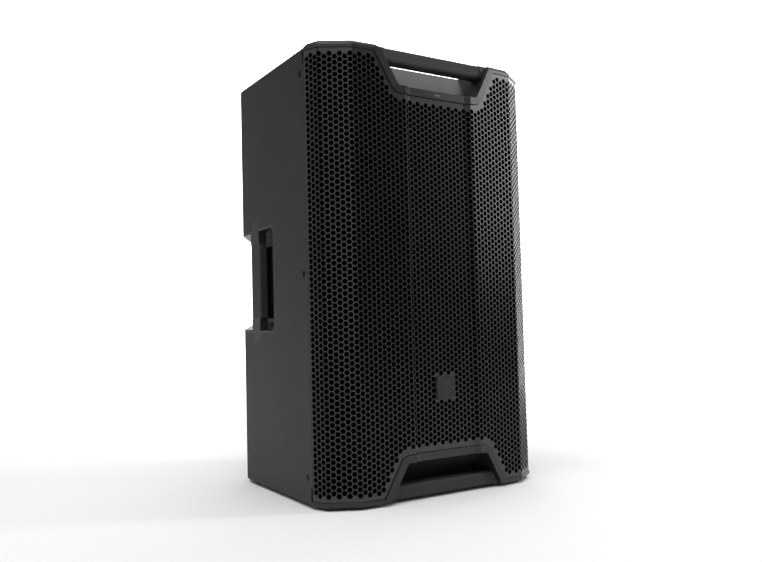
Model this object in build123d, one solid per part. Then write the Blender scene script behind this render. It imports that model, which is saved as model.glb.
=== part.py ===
from build123d import *
import os
from math import cos, hypot, radians, sin, tan

# A powered loudspeaker cabinet with a 15 inch coaxial driver, moulded shell and folded grille.
# Millimetres. X to the right, front faces -Y, Z up. The origin is on the floor, under the
# middle of the bounding box.

# Cabinet body
WIDTH = 429.0
BODY_HEIGHT = 700.0
DEPTH = 384.0
WALL = 6.0
EDGE_CHAMFER = 4.0
SIDE_TAPER = 5.35
REAR_FACET = 45.0

# Folds of the front, from the middle outwards: recessed centre, step, inner, outer, wrap
CENTRE_HALF = 57.0
STEP_RUN = 9.2
STEP_RISE = 5.1
INNER_FALL = 6.6
OUTER_RUN = 44.4
OUTER_FALL = 28.1
WRAP_RUN = 9.0
WRAP_FALL = 26.4

# Front moulding
CAP_PROUD = 1.0
CAP_HEIGHT = 8.0
CAP_RISE = 4.0
CAP_SLOPE = 7.0
CAP_CHAMFER = 3.0
LEDGE = 4.0
LEDGE_WIDTH = 13.0
BAFFLE_SETBACK = 46.0
BAFFLE_THICKNESS = 8.0
FLANGE_LENGTH = 30.0
FLANGE_THICKNESS = 4.0
SEAM_GAP = 0.5
NOTCH_INSET = 7.0
NOTCH_HEIGHT = 20.0
NOTCH_WIDTH = 5.0
NOTCH_DEPTH = 3.0

# Hand pockets at the top and bottom edges
POCKET_HALF = 80.0
POCKET_HEIGHT = 57.0
POCKET_SLANT_RUN = 33.0
POCKET_FRONT = 5.0
POCKET_DEPTH = 80.0
POCKET_CORNER = 8.0
POCKET_WALL = 4.0
LIP_WIDTH = 12.0
LIP_PROUD = 2.0
LIP_DEPTH = 12.0

# Handle bars across the pockets
BAR_DEPTH = 26.0
BAR_HEIGHT = 22.0
BAR_SETBACK = 5.0
BAR_ROUND = 5.0
BAR_INSET = 1.0
BAR_GRIP_HALF = 95.0
BAR_GRIP_SKIN = 2.0
BAR_COLLAR = 1.0
BAR_COLLAR_HALF = 98.0

# Grille
GRILLE_SHEET = 1.5
GRILLE_GAP = 0.8
FOAM_THICKNESS = 5.0
FOAM_MARGIN = 10.0

# Badge and light pipe
BADGE_SIZE = 37.5
BADGE_CORNER = 6.0
BADGE_THICKNESS = 2.2
BADGE_RISE = 167.0
BADGE_PIN_R = 3.0
BADGE_PIN_LENGTH = 9.0
CLIP_R = 9.0
CLIP_THICKNESS = 1.2
FOAM_HOLE_R = 12.0
LIGHT_WIDTH = 12.0
LIGHT_HEIGHT = 2.5

# Side handles
HANDLE_Y = 275.5
STRAP_WIDTH = 37.0
STRAP_LENGTH = 210.0
STRAP_THICKNESS = 14.0
STRAP_CORNER = 13.0
SIDE_GRIP_LENGTH = 128.0
SIDE_GRIP_SKIN = 2.5
SIDE_GRIP_BULGE = 3.5
CUP_FRONT = 190.0
CUP_HEIGHT = 180.0
CUP_DRAFT = 0.25
CUP_FLOOR_HALF = 148.0
CUP_WALL = 4.0
CUP_CORNER = 12.0
CUP_RELIEF_HEIGHT = 130.0
CUP_RELIEF_DEPTH = 8.0
CUP_RELIEF_START = 26.0
CUP_RELIEF_END = 12.0
EAR_THICKNESS = 9.0
HANDLE_SCREW_R = 2.5
HANDLE_SCREW_END = 6.1

# Side screws that hold the shell to the front moulding
SIDE_SCREW_SETBACK = 70.0
SIDE_SCREW_END = 41.0
SIDE_SCREW_HEAD_R = 5.8
SIDE_SCREW_SHANK_R = 2.5
SIDE_SCREW_RECESS = 1.0

# Feet
FOOT_DROP = 4.0
FOOT_R = 22.0
FOOT_X_INSET = 30.5
FOOT_FRONT_SETBACK = 46.0
FOOT_REAR_SETBACK = 300.0
FOOT_REAR_INSET = 52.0
FOOT_PEG_R = 4.0

# Pole socket and rigging
POLE_R = 17.75
POLE_DEPTH = 95.0
POLE_SETBACK = 185.0
POLE_TUBE_WALL = 4.0
POLE_FLANGE_R = 34.0
POLE_FLANGE = 3.0
RIG_THREAD_R = 4.25
RIG_BODY_R = 9.0
RIG_FLANGE_R = 13.0
RIG_FLANGE = 3.0
RIG_LENGTH = 22.0
RIG_X = 140.0
RIG_SETBACK = 200.0

# Coaxial driver
DRIVER_RISE = 385.0
FRAME_R = 193.5
CUTOUT_R = 176.0
FRAME_FLANGE = 7.0
GASKET = 2.0
FRAME_WALL = 5.0
FRAME_DEPTH = 84.0
FRAME_SEAT_R = 95.0
FRAME_WINDOWS = 8
FRAME_SCREWS = 8
FRAME_SCREW_R = 2.8
FRAME_FIT = 1.0
FRAME_WINDOW_HEIGHT = 57.0
SPIDER_SETBACK = 15.0
CONE_NECK_SETBACK = 30.0
CONE_R = 147.0
CONE_SHEET = 1.5
ROLL_R = 10.5
ROLL_SHEET = 1.2
COIL_R = 38.0
FORMER_SHEET = 0.8
COIL_THICKNESS = 1.4
COIL_LENGTH = 18.0
COIL_GAP = 0.9
TOP_PLATE = 10.0
MAGNET_R = 92.0
MAGNET_BORE_R = 50.0
MAGNET_HEIGHT = 24.0
BACK_PLATE = 12.0
BACK_PLATE_R = 82.0
THROAT_R = 12.5
HORN_NECK_R = 17.8
POLE_PIECE_BORE_R = 18.0
HORN_MOUTH_WIDTH = 134.0
HORN_MOUTH_HEIGHT = 96.0
HORN_WALL = 2.5
HF_R = 55.0
HF_LENGTH = 52.0

# Ports
PORT_X = 125.0
PORT_RISE = 125.0
PORT_R = 35.0
PORT_WALL = 3.0
PORT_FLANGE_R = 46.0
PORT_FLANGE = 3.0
PORT_LENGTH = 120.0

# Amplifier module
AMP_HALF_WIDTH = 116.0
AMP_HALF_HEIGHT = 154.0
AMP_RISE = 224.0
AMP_RECESS = 12.0
AMP_LEDGE = 8.0
AMP_LEDGE_THICKNESS = 4.0
AMP_FRAME = 5.0
AMP_SEAL = 1.0
AMP_PANEL = 3.0
AMP_CASE_DEPTH = 60.0
AMP_CASE_SHEET = 1.5
AMP_SCREW_R = 2.0
SINK_HALF_WIDTH = 96.0
SINK_HALF_HEIGHT = 60.0
SINK_RISE = 78.0
SINK_BASE = 4.0
SINK_FIN = 2.0
SINK_FINS = 21
SINK_FIN_LENGTH = 13.0
BOARD = 1.6
BOARD_HALF_WIDTH = 98.0
BOARD_HALF_HEIGHT = 56.0

# Controls on the amplifier panel, as offsets from its middle
GAIN_X = 62.0
GAIN_DROP = 26.0
KNOB_R = 9.0
KNOB_HEIGHT = 6.5
KNOB_RIBS = 12
KNOB_CHAMFER = 1.0
KNOB_MARK_DEPTH = 0.5
KNOB_MARK_WIDTH = 1.0
KNOB_CAP = 2.0
SHAFT_LENGTH = 12.0
ENCODER_STAND = 0.7
ENCODER_DROP = 26.0
ENCODER_R = 12.0
SHAFT_R = 3.0
RUNNING_FIT = 0.05
DISPLAY_HALF_WIDTH = 27.0
DISPLAY_HALF_HEIGHT = 11.0
DISPLAY_DROP = 0.0
DISPLAY_PROUD = 0.5
SOCKET_X = 74.0
SOCKET_DROP = 68.0
SOCKET_R = 11.9
SOCKET_HALF_WIDTH = 13.0
SOCKET_HALF_HEIGHT = 15.5
SOCKET_DEPTH = 28.0
SOCKET_BORE_R = 9.6
SOCKET_PLATE = 1.5
SOCKET_FLOOR = 2.0
SOCKET_CORE_R = 7.6
SOCKET_CORE_SETBACK = 4.0
JACK_R = 3.3
PIN_R = 1.2
PIN_CIRCLE = 5.0
PIN_ANGLES = (30, 150, 270)
LATCH_HALF_WIDTH = 3.4
LATCH_HALF_HEIGHT = 1.9
LATCH_TRAVEL = 2.0
MAINS_X = -50.0
MAINS_DROP = 122.0
MAINS_HALF_WIDTH = 13.5
MAINS_HALF_HEIGHT = 10.0
MAINS_DEPTH = 26.0
MAINS_RIM = 2.5
MAINS_WALL = 1.8
MAINS_FLOOR = 3.0
MAINS_PINS = ((-7, 2), (0, -2), (7, 2))
MAINS_PIN_HALF_WIDTH = 1.0
MAINS_PIN_HALF_HEIGHT = 2.0
MAINS_PIN_SETBACK = 6.0
ROCKER_X = 50.0
ROCKER_HALF_WIDTH = 10.0
ROCKER_HALF_HEIGHT = 6.4
ROCKER_DEPTH = 14.0
ROCKER_RIM = 2.0
ROCKER_PROUD = 1.0
ROCKER_WALL = 1.0
ROCKER_GAP = 0.5
ROCKER_THICKNESS = 4.0
ROCKER_EDGE = 0.8

# Fits
CLEAR = 0.3
SCREW_FIT = 0.1
LINING = 20.0


def outward(start, end):
    """The unit normal of one edge of a counter-clockwise outline."""
    run = end[0] - start[0]
    rise = end[1] - start[1]
    length = hypot(run, rise)
    return rise / length, -run / length


def mitre(start, corner, end, grow):
    """How far a corner moves when both its edges move outward by the same amount."""
    before = outward(start, corner)
    after = outward(corner, end)
    share = grow / (1 + before[0] * after[0] + before[1] * after[1])
    return share * (before[0] + after[0]), share * (before[1] + after[1])


# Places worked out from the sizes above
BOTTOM = FOOT_DROP
TOP = BOTTOM + BODY_HEIGHT
MIDDLE = BOTTOM + BODY_HEIGHT / 2
SIDE_X = WIDTH / 2
OUTER_X = SIDE_X - WRAP_RUN
INNER_X = OUTER_X - OUTER_RUN
STEP_CORNER = (CENTRE_HALF + STEP_RUN, 0)
PROUD = max(CAP_PROUD, LIP_PROUD)
LIP_REACH = -mitre((CENTRE_HALF, STEP_RISE), STEP_CORNER, (INNER_X, INNER_FALL), PROUD)[1]
FACE_Y = -DEPTH / 2 + LIP_REACH + STEP_RISE
INNER_Y = FACE_Y - STEP_RISE + INNER_FALL
OUTER_Y = INNER_Y + OUTER_FALL
SEAM_Y = OUTER_Y + WRAP_FALL
REAR_Y = DEPTH / 2
FACET_Y = REAR_Y - REAR_FACET
FACET_X = SIDE_X - (FACET_Y - SEAM_Y) * tan(radians(SIDE_TAPER))
BAFFLE_Y = FACE_Y + BAFFLE_SETBACK
DRIVER_Z = BOTTOM + DRIVER_RISE
AMP_Z = BOTTOM + AMP_RISE
PANEL_Y = REAR_Y - AMP_RECESS + AMP_SEAL + AMP_PANEL
BADGE_Z = BOTTOM + BADGE_RISE
POLE_Y = FACE_Y + POLE_SETBACK

# A plane seen from the right: its X is the cabinet's Y, and its Z is the cabinet's X
ACROSS = Plane(origin=(0, 0, 0), x_dir=(0, 1, 0), z_dir=(1, 0, 0))


def block(x0, x1, y0, y1, z0, z1):
    """A box given by its two corners."""
    return Pos((x0 + x1) / 2, (y0 + y1) / 2, (z0 + z1) / 2) * Box(x1 - x0, y1 - y0, z1 - z0)


def grown(points, grow):
    """A counter-clockwise outline as a face, with every edge moved outward by the same amount."""
    corners = []
    for i, (x, y) in enumerate(points):
        shift = mitre(points[i - 1], (x, y), points[(i + 1) % len(points)], grow)
        corners.append((x + shift[0], y + shift[1]))
    return make_face(Polyline(*corners, close=True))


def plan(grow):
    """The cabinet's outline seen from above, grown or shrunk all round."""
    half = [
        (CENTRE_HALF, FACE_Y),
        (CENTRE_HALF + STEP_RUN, FACE_Y - STEP_RISE),
        (INNER_X, INNER_Y),
        (OUTER_X, OUTER_Y),
        (SIDE_X, SEAM_Y),
        (FACET_X, FACET_Y),
        (FACET_X - REAR_FACET, REAR_Y),
    ]
    mirrored = [(-x, y) for x, y in reversed(half)]
    return grown(half + mirrored, grow)


def column(grow, z0=BOTTOM, z1=TOP):
    """The cabinet's outline as an upright prism."""
    return Pos(0, 0, z0) * extrude(plan(grow), z1 - z0)


def ahead_of(y):
    """Everything in front of a plane."""
    return block(-WIDTH, WIDTH, -DEPTH, y, -BODY_HEIGHT, 2 * BODY_HEIGHT)


def behind(y):
    """Everything behind a plane."""
    return block(-WIDTH, WIDTH, y, DEPTH, -BODY_HEIGHT, 2 * BODY_HEIGHT)


def turned(x, z, *profile):
    """A solid of revolution about a front-to-back axis, from (radius, y) points."""
    face = make_face(Polyline(*profile, close=True))
    return Pos(x, 0, z) * revolve(face, Axis.Y)


def tube(x, z, r_out, r_in, y0, y1):
    """A straight tube or disc about a front-to-back axis."""
    return turned(x, z, (r_in, y0), (r_out, y0), (r_out, y1), (r_in, y1))


def rod(x, z, r, y0, y1):
    """A round bar along a front-to-back axis."""
    return Pos(x, (y0 + y1) / 2, z) * Rot(90, 0, 0) * Cylinder(r, y1 - y0)


def at_bottom(part):
    """The same shape mirrored from the top edge to the bottom edge."""
    return mirror(part, Plane.XY.offset(MIDDLE))


def pocket_window(grow):
    """The pocket's front outline, as a prism through the whole depth."""
    floor_z = TOP - POCKET_HEIGHT
    over = POCKET_HEIGHT
    lean = POCKET_SLANT_RUN / POCKET_HEIGHT
    top_half = POCKET_HALF + (POCKET_HEIGHT + over) * lean
    points = [
        (-POCKET_HALF, floor_z),
        (POCKET_HALF, floor_z),
        (top_half, TOP + over),
        (-top_half, TOP + over),
    ]
    face = grown(points, grow)
    face = fillet(face.vertices().group_by(Axis.Y)[0], POCKET_CORNER + grow)
    return Pos(0, DEPTH, 0) * Rot(90, 0, 0) * extrude(face, 2 * DEPTH)


def pocket(grow):
    """The hollow of the top hand pocket: its back slopes up to the cabinet's top."""
    floor_z = TOP - POCKET_HEIGHT
    rise = POCKET_DEPTH - POCKET_FRONT
    over = POCKET_HEIGHT
    front = -DEPTH
    section = [
        (front, floor_z),
        (FACE_Y + POCKET_FRONT, floor_z),
        (FACE_Y + POCKET_DEPTH, TOP),
        (FACE_Y + POCKET_DEPTH + rise * over / POCKET_HEIGHT, TOP + over),
        (front, TOP + over),
    ]
    return pocket_window(grow) & (ACROSS * Pos(0, 0, -WIDTH) * extrude(grown(section, grow), 2 * WIDTH))


def side_x(y):
    """Half the cabinet's width at a depth along the tapering side."""
    return SIDE_X - (y - SEAM_Y) * tan(radians(SIDE_TAPER))


def strap_plane():
    """A plane on the right side panel, at the handle's middle, facing out."""
    y = FACE_Y + HANDLE_Y
    lean = radians(SIDE_TAPER)
    normal = (cos(lean), sin(lean), 0)
    along = (-sin(lean), cos(lean), 0)
    return Plane(origin=(side_x(y), y, MIDDLE), x_dir=along, z_dir=normal)


def strap_prism(grow, outer, inner):
    """The handle strap's outline between two depths under the side surface."""
    outline = RectangleRounded(STRAP_WIDTH + 2 * grow, STRAP_LENGTH + 2 * grow, STRAP_CORNER + grow)
    return strap_plane() * Pos(0, 0, -inner) * extrude(outline, inner - outer)


def handle_screw_holes(radius, outer, inner):
    """Two round bars at the strap's ends, square to the side panel."""
    reach = STRAP_LENGTH / 2 - HANDLE_SCREW_END
    bars = [
        strap_plane() * Pos(0, s * reach, -(outer + inner) / 2) * Cylinder(radius, inner - outer)
        for s in (-1, 1)
    ]
    return Part() + bars


def left_of(part):
    """The mirror image on the cabinet's left side."""
    return mirror(part, Plane.YZ)


def cup_space(grow):
    """The hollow of the right handle cup, grown for its wall or its clearance."""
    half = CUP_HEIGHT / 2 + grow
    front = FACE_Y + CUP_FRONT - grow
    floor = CUP_FLOOR_HALF - grow
    ends = []
    for x in (floor, SIDE_X):
        draft = (SIDE_X - x) * CUP_DRAFT
        outline = RectangleRounded(DEPTH, 2 * (half - draft), CUP_CORNER + grow)
        ends.append(ACROSS * Pos(front + draft + DEPTH / 2, MIDDLE, x) * outline.face())
    relief_half = CUP_RELIEF_HEIGHT / 2 + grow
    deep = floor - CUP_RELIEF_DEPTH
    start = front + CUP_RELIEF_START
    end = FACET_Y - CUP_RELIEF_END + grow
    relief = block(deep, SIDE_X, start, end, MIDDLE - relief_half, MIDDLE + relief_half)
    return loft(ends) + relief


def side_screw_places():
    """Height and side of each screw along the shell's front edge."""
    reach = BODY_HEIGHT / 2 - SIDE_SCREW_END
    return [(s, MIDDLE + h) for s in (-1, 1) for h in (-reach, 0, reach)]


def side_bar(s, z, radius, outer, inner):
    """A round bar into the side panel at a screw's place, between two depths."""
    y = FACE_Y + SIDE_SCREW_SETBACK
    lean = radians(SIDE_TAPER)
    face = Plane(origin=(s * side_x(y), y, z), z_dir=(s * cos(lean), sin(lean), 0))
    return face * Pos(0, 0, -(outer + inner) / 2) * Cylinder(radius, inner - outer)


def side_bars(radius, outer, inner):
    """The six of them together."""
    return [side_bar(s, z, radius, outer, inner) for s, z in side_screw_places()]


def foot_places():
    """Where the four feet stand."""
    front = FACE_Y + FOOT_FRONT_SETBACK
    rear = FACE_Y + FOOT_REAR_SETBACK
    near = SIDE_X - FOOT_X_INSET
    far = SIDE_X - FOOT_REAR_INSET
    return {
        "foot_front_left": (-near, front),
        "foot_front_right": (near, front),
        "foot_rear_left": (-far, rear),
        "foot_rear_right": (far, rear),
    }


def foot_peg(x, y, radius, length):
    """The upright peg that holds a foot."""
    return Pos(x, y, BOTTOM + length / 2) * Cylinder(radius, length)


def rig_places():
    """Where the rigging inserts stand, left and right."""
    return [(s * RIG_X, FACE_Y + RIG_SETBACK) for s in (-1, 1)]


def amp_block(grow, y0, y1):
    """A slab the size of the amplifier's recess, grown or shrunk."""
    half_x = AMP_HALF_WIDTH + grow
    half_z = AMP_HALF_HEIGHT + grow
    return block(-half_x, half_x, y0, y1, AMP_Z - half_z, AMP_Z + half_z)


def amp_screw_places():
    """The screws round the amplifier panel's edge."""
    x = AMP_HALF_WIDTH - AMP_LEDGE / 2
    z = AMP_HALF_HEIGHT - AMP_LEDGE / 2
    rows = [(s * x, AMP_Z + h) for s in (-1, 1) for h in (-z, 0, z)]
    return rows + [(0, AMP_Z - z), (0, AMP_Z + z)]


def driver_screw_places():
    """The screws round the driver's frame."""
    r = (FRAME_R + CUTOUT_R) / 2
    turns = [radians(360 * (i + 0.5) / FRAME_SCREWS) for i in range(FRAME_SCREWS)]
    return [(r * cos(a), DRIVER_Z + r * sin(a)) for a in turns]


def rear_shell():
    """The moulded shell: sides, top, bottom and back, open at the front."""
    outer = column(0)
    rims = outer.edges().group_by(Axis.Z)
    outer = chamfer(rims[0] + rims[-1], EDGE_CHAMFER)
    body = outer - column(-WALL, BOTTOM + WALL, TOP - WALL)
    body &= behind(SEAM_Y)
    body += amp_block(AMP_FRAME, REAR_Y - AMP_RECESS - AMP_LEDGE_THICKNESS, REAR_Y - WALL / 2)
    body -= amp_block(0, REAR_Y - AMP_RECESS, REAR_Y + WALL)
    body -= amp_block(-AMP_LEDGE, REAR_Y - 2 * AMP_RECESS, REAR_Y + WALL)
    hollow = pocket(POCKET_WALL + SEAM_GAP)
    body -= hollow
    body -= at_bottom(hollow)
    side = cup_space(CUP_WALL + CLEAR) + strap_prism(2 * CLEAR, -WALL, 2 * WALL)
    body -= side
    body -= left_of(side)
    for s in (-1, 1):
        low = TOP - NOTCH_INSET - NOTCH_HEIGHT
        xs = sorted((s * (SIDE_X - NOTCH_DEPTH), s * SIDE_X))
        notch = block(*xs, SEAM_Y - SEAM_GAP, SEAM_Y + NOTCH_WIDTH, low, low + NOTCH_HEIGHT)
        body -= notch
        body -= at_bottom(notch)
    body -= side_bars(SIDE_SCREW_HEAD_R + CLEAR, -WALL, WALL / 2)
    body -= side_bars(SIDE_SCREW_SHANK_R + SCREW_FIT, 0, 2 * WALL)
    for name, (x, y) in foot_places().items():
        if "rear" in name:
            body -= foot_peg(x, y, FOOT_PEG_R + SCREW_FIT, 2 * WALL)
    flange = POLE_FLANGE + CLEAR
    body -= Pos(0, POLE_Y, BOTTOM + flange / 2) * Cylinder(POLE_FLANGE_R + CLEAR, flange)
    body -= Pos(0, POLE_Y, BOTTOM) * Cylinder(POLE_R + POLE_TUBE_WALL + CLEAR, 4 * WALL)
    for x, y in rig_places():
        body -= Pos(x, y, MIDDLE) * Cylinder(RIG_BODY_R + SCREW_FIT, 2 * BODY_HEIGHT)
    for x, z in amp_screw_places():
        body -= rod(x, z, AMP_SCREW_R + SCREW_FIT, REAR_Y - 2 * AMP_RECESS, REAR_Y)
    return body


def cap(rise, slope):
    """The proud band that closes the grille at the top edge, and slopes back to its own top."""
    high = TOP + rise
    band = column(CAP_PROUD, TOP - CAP_HEIGHT, high - slope)
    foot_face = Pos(0, 0, high - slope) * plan(CAP_PROUD)
    top_face = Pos(0, 0, high) * plan(CAP_PROUD - slope)
    band += loft([foot_face, top_face], ruled=True)
    inner = GRILLE_SHEET + CLEAR + LEDGE
    band -= column(-inner, TOP - CAP_HEIGHT, TOP - WALL)
    return band & block(-SIDE_X, SIDE_X, -DEPTH, SEAM_Y - SEAM_GAP, BOTTOM, high)


def ledges():
    """The frame behind the grille's edges."""
    outer = GRILLE_SHEET + CLEAR
    ring = column(-outer) - column(-outer - LEDGE)
    ring &= ahead_of(SEAM_Y - SEAM_GAP)
    reach = OUTER_X - LEDGE_WIDTH
    low = BOTTOM + CAP_HEIGHT + LEDGE_WIDTH
    high = TOP - CAP_HEIGHT - LEDGE_WIDTH
    return ring - block(-reach, reach, -DEPTH, OUTER_Y, low, high)


def lip():
    """The raised band round the pocket, that the grille is cut out for."""
    band = pocket_window(LIP_WIDTH) - pocket_window(0)
    band &= column(LIP_PROUD, MIDDLE, TOP - CAP_CHAMFER)
    band &= ahead_of(FACE_Y + LIP_DEPTH)
    return band + at_bottom(band)


def front_moulding():
    """Caps, lips, pocket trays, the baffle plate and the flange inside the shell."""
    baffle = column(-GRILLE_SHEET - CLEAR)
    baffle &= block(-WIDTH, WIDTH, BAFFLE_Y, BAFFLE_Y + BAFFLE_THICKNESS, 0, 2 * TOP)
    inset = WALL + CLEAR
    flange = column(-inset, BOTTOM + inset, TOP - inset)
    flange -= column(-inset - FLANGE_THICKNESS)
    flange &= block(-WIDTH, WIDTH, BAFFLE_Y, SEAM_Y + FLANGE_LENGTH, 0, 2 * TOP)
    tray = pocket(POCKET_WALL) & column(0)
    tray += at_bottom(tray)
    body = cap(CAP_RISE, CAP_SLOPE) + at_bottom(cap(0, CAP_CHAMFER))
    body += ledges() + lip() + baffle + flange + tray
    hollow = pocket(0)
    body -= hollow
    body -= at_bottom(hollow)
    body -= rod(0, DRIVER_Z, CUTOUT_R, BAFFLE_Y - WALL, SEAM_Y)
    for x in (-PORT_X, PORT_X):
        port_r = PORT_R + PORT_WALL + CLEAR
        body -= rod(x, BOTTOM + PORT_RISE, port_r, BAFFLE_Y - WALL, SEAM_Y)
    body -= light_slot(SCREW_FIT)
    body -= side_bars(SIDE_SCREW_SHANK_R + SCREW_FIT, 0, 4 * WALL)
    for name, (x, y) in foot_places().items():
        if "front" in name:
            body -= foot_peg(x, y, FOOT_PEG_R + SCREW_FIT, 2 * WALL + CLEAR)
    for x, z in driver_screw_places():
        body -= rod(x, z, FRAME_SCREW_R + SCREW_FIT, BAFFLE_Y - WALL, SEAM_Y)
    return body


def light_slot(grow):
    """The front light's place in the middle of the top lip."""
    z = TOP - POCKET_HEIGHT - LIP_WIDTH / 2
    half_x = LIGHT_WIDTH / 2 + grow
    half_z = LIGHT_HEIGHT / 2 + grow
    return block(-half_x, half_x, -DEPTH / 2, BAFFLE_Y - WALL, z - half_z, z + half_z)


def light_pipe():
    """A clear bar that carries the front light through the lip."""
    return light_slot(0) & column(LIP_PROUD) & ahead_of(FACE_Y + LIP_DEPTH + WALL)


def grille():
    """The folded steel sheet, cut away round both pockets."""
    edge = CAP_HEIGHT + GRILLE_GAP
    sheet = column(0, BOTTOM + edge, TOP - edge)
    sheet -= column(-GRILLE_SHEET)
    sheet &= ahead_of(SEAM_Y - SEAM_GAP)
    window = pocket_window(LIP_WIDTH + GRILLE_GAP)
    sheet -= window
    sheet -= at_bottom(window)
    return sheet - rod(0, BADGE_Z, BADGE_PIN_R + RUNNING_FIT, -DEPTH, BAFFLE_Y)


def grille_foam():
    """The acoustic foam behind the grille."""
    front = GRILLE_SHEET + CLEAR
    edge = POCKET_HEIGHT + LIP_WIDTH + FOAM_MARGIN
    foam = column(-front, BOTTOM + edge, TOP - edge)
    foam -= column(-front - FOAM_THICKNESS)
    reach = OUTER_X - LEDGE_WIDTH - FOAM_MARGIN
    foam &= block(-reach, reach, -DEPTH, BAFFLE_Y, 0, 2 * TOP)
    return foam - rod(0, BADGE_Z, FOAM_HOLE_R, -DEPTH, BAFFLE_Y)


def badge():
    """A square plate that turns on a pin through the grille."""
    outline = RectangleRounded(BADGE_SIZE, BADGE_SIZE, BADGE_CORNER)
    plate = Pos(0, FACE_Y - CLEAR, BADGE_Z) * Rot(90, 0, 0) * extrude(outline, BADGE_THICKNESS)
    end = FACE_Y + BADGE_PIN_LENGTH
    return plate + rod(0, BADGE_Z, BADGE_PIN_R, FACE_Y - BADGE_THICKNESS / 2, end)


def badge_clip():
    """The push-on washer behind the grille that keeps the badge."""
    start = FACE_Y + GRILLE_SHEET + CLEAR
    r_in = BADGE_PIN_R + SCREW_FIT
    return tube(0, BADGE_Z, CLIP_R, r_in, start, start + CLIP_THICKNESS)


def bar_section(shrink, rise):
    """A handle bar's section, as a long prism across the pocket."""
    outline = RectangleRounded(BAR_DEPTH - 2 * shrink, BAR_HEIGHT - 2 * shrink, BAR_ROUND - shrink)
    y = FACE_Y + BAR_SETBACK + BAR_DEPTH / 2
    z = TOP + rise - BAR_INSET - BAR_HEIGHT / 2
    return ACROSS * Pos(y, z, -WIDTH / 2) * extrude(outline, WIDTH)


def between(reach):
    """Everything within a distance of the cabinet's middle plane."""
    return block(-reach, reach, -DEPTH, DEPTH, -TOP, 2 * TOP)


def handle_bar(rise):
    """The bar across the pocket, waisted where the grip goes and with a collar at each end."""
    bar = bar_section(0, rise) + (bar_section(-BAR_COLLAR, rise) - between(BAR_COLLAR_HALF))
    waist = bar_section(0, rise) - bar_section(BAR_GRIP_SKIN + SCREW_FIT, rise)
    return (bar & pocket(-CLEAR)) - (waist & between(BAR_GRIP_HALF))


def handle_grip(rise):
    """The soft sleeve round the bar."""
    sleeve = bar_section(0, rise) - bar_section(BAR_GRIP_SKIN, rise)
    return sleeve & between(BAR_GRIP_HALF - CLEAR)


def side_cup():
    """The right handle's cup, with ears that the strap is screwed to."""
    cup = cup_space(CUP_WALL) & column(0)
    inner = STRAP_THICKNESS + CLEAR
    cup -= strap_prism(2 * CLEAR, -WALL, inner)
    cup += strap_prism(CLEAR, inner, inner + EAR_THICKNESS)
    cup -= cup_space(0)
    return cup - handle_screw_holes(HANDLE_SCREW_R + SCREW_FIT, 0, inner + EAR_THICKNESS)


def grip_block(shrink):
    """The outside of the strap's grip, over the middle of the strap."""
    half_z = SIDE_GRIP_LENGTH / 2
    front = STRAP_WIDTH / 2 + SIDE_GRIP_BULGE - shrink
    back = STRAP_WIDTH / 2 - shrink
    deep = STRAP_THICKNESS - shrink
    middle = Pos((back - front) / 2, 0, -(shrink + deep) / 2)
    body = Box(front + back, 2 * half_z, deep - shrink)
    body = fillet(body.edges().filter_by(Axis.Y), SIDE_GRIP_SKIN)
    return strap_plane() * middle * body


def side_handle():
    """The right strap, waisted under its grip."""
    strap = strap_prism(0, 0, STRAP_THICKNESS)
    zone_half = SIDE_GRIP_LENGTH / 2 + CLEAR
    zone = strap_plane() * Box(4 * STRAP_WIDTH, 2 * zone_half, 4 * STRAP_THICKNESS)
    core_side = 2 * (SIDE_GRIP_SKIN + SCREW_FIT)
    core = Box(STRAP_WIDTH - core_side, 2 * zone_half, STRAP_THICKNESS - core_side)
    core = strap_plane() * Pos(0, 0, -STRAP_THICKNESS / 2) * core
    blind = STRAP_THICKNESS / 3
    strap = (strap - zone) + core
    return strap - handle_screw_holes(HANDLE_SCREW_R + SCREW_FIT, blind, STRAP_THICKNESS)


def side_grip():
    """The right strap's soft grip, fuller at its front edge."""
    width = STRAP_WIDTH - 2 * SIDE_GRIP_SKIN
    deep = STRAP_THICKNESS - 2 * SIDE_GRIP_SKIN
    core = strap_plane() * Pos(0, 0, -STRAP_THICKNESS / 2) * Box(width, STRAP_LENGTH, deep)
    return grip_block(0) - core


def side_handle_screws():
    """Four screws from inside the cabinet through the ears into the straps."""
    start = STRAP_THICKNESS / 3 + CLEAR
    end = STRAP_THICKNESS + CLEAR + EAR_THICKNESS
    shanks = handle_screw_holes(HANDLE_SCREW_R, start, end + 1)
    heads = handle_screw_holes(2 * HANDLE_SCREW_R, end + SCREW_FIT, end + HANDLE_SCREW_R)
    right = shanks + heads
    return right + left_of(right)


def side_screws():
    """The six screws along the shell's front edges, with their heads let in."""
    heads = side_bars(SIDE_SCREW_HEAD_R, SIDE_SCREW_RECESS, WALL / 2)
    shanks = side_bars(SIDE_SCREW_SHANK_R, WALL / 2 - CLEAR, 2 * WALL + CLEAR)
    drives = side_bars(SIDE_SCREW_SHANK_R, 0, 2 * SIDE_SCREW_RECESS)
    return Part() + heads + shanks - drives


def foot(x, y, length):
    """A rubber foot with a peg into the cabinet's bottom."""
    pad = Pos(x, y, FOOT_DROP / 2) * Cylinder(FOOT_R, FOOT_DROP)
    pad = chamfer(pad.edges().group_by(Axis.Z)[0], FOOT_DROP / 3)
    return pad + foot_peg(x, y, FOOT_PEG_R, length)


def pole_socket():
    """The blind metal socket for a stand pole, with its flange let into the bottom."""
    outer = POLE_R + POLE_TUBE_WALL
    height = POLE_DEPTH + POLE_TUBE_WALL
    body = Pos(0, POLE_Y, BOTTOM + height / 2) * Cylinder(outer, height)
    body += Pos(0, POLE_Y, BOTTOM + POLE_FLANGE / 2) * Cylinder(POLE_FLANGE_R, POLE_FLANGE)
    return body - Pos(0, POLE_Y, BOTTOM + POLE_DEPTH / 2) * Cylinder(POLE_R, POLE_DEPTH)


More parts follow.
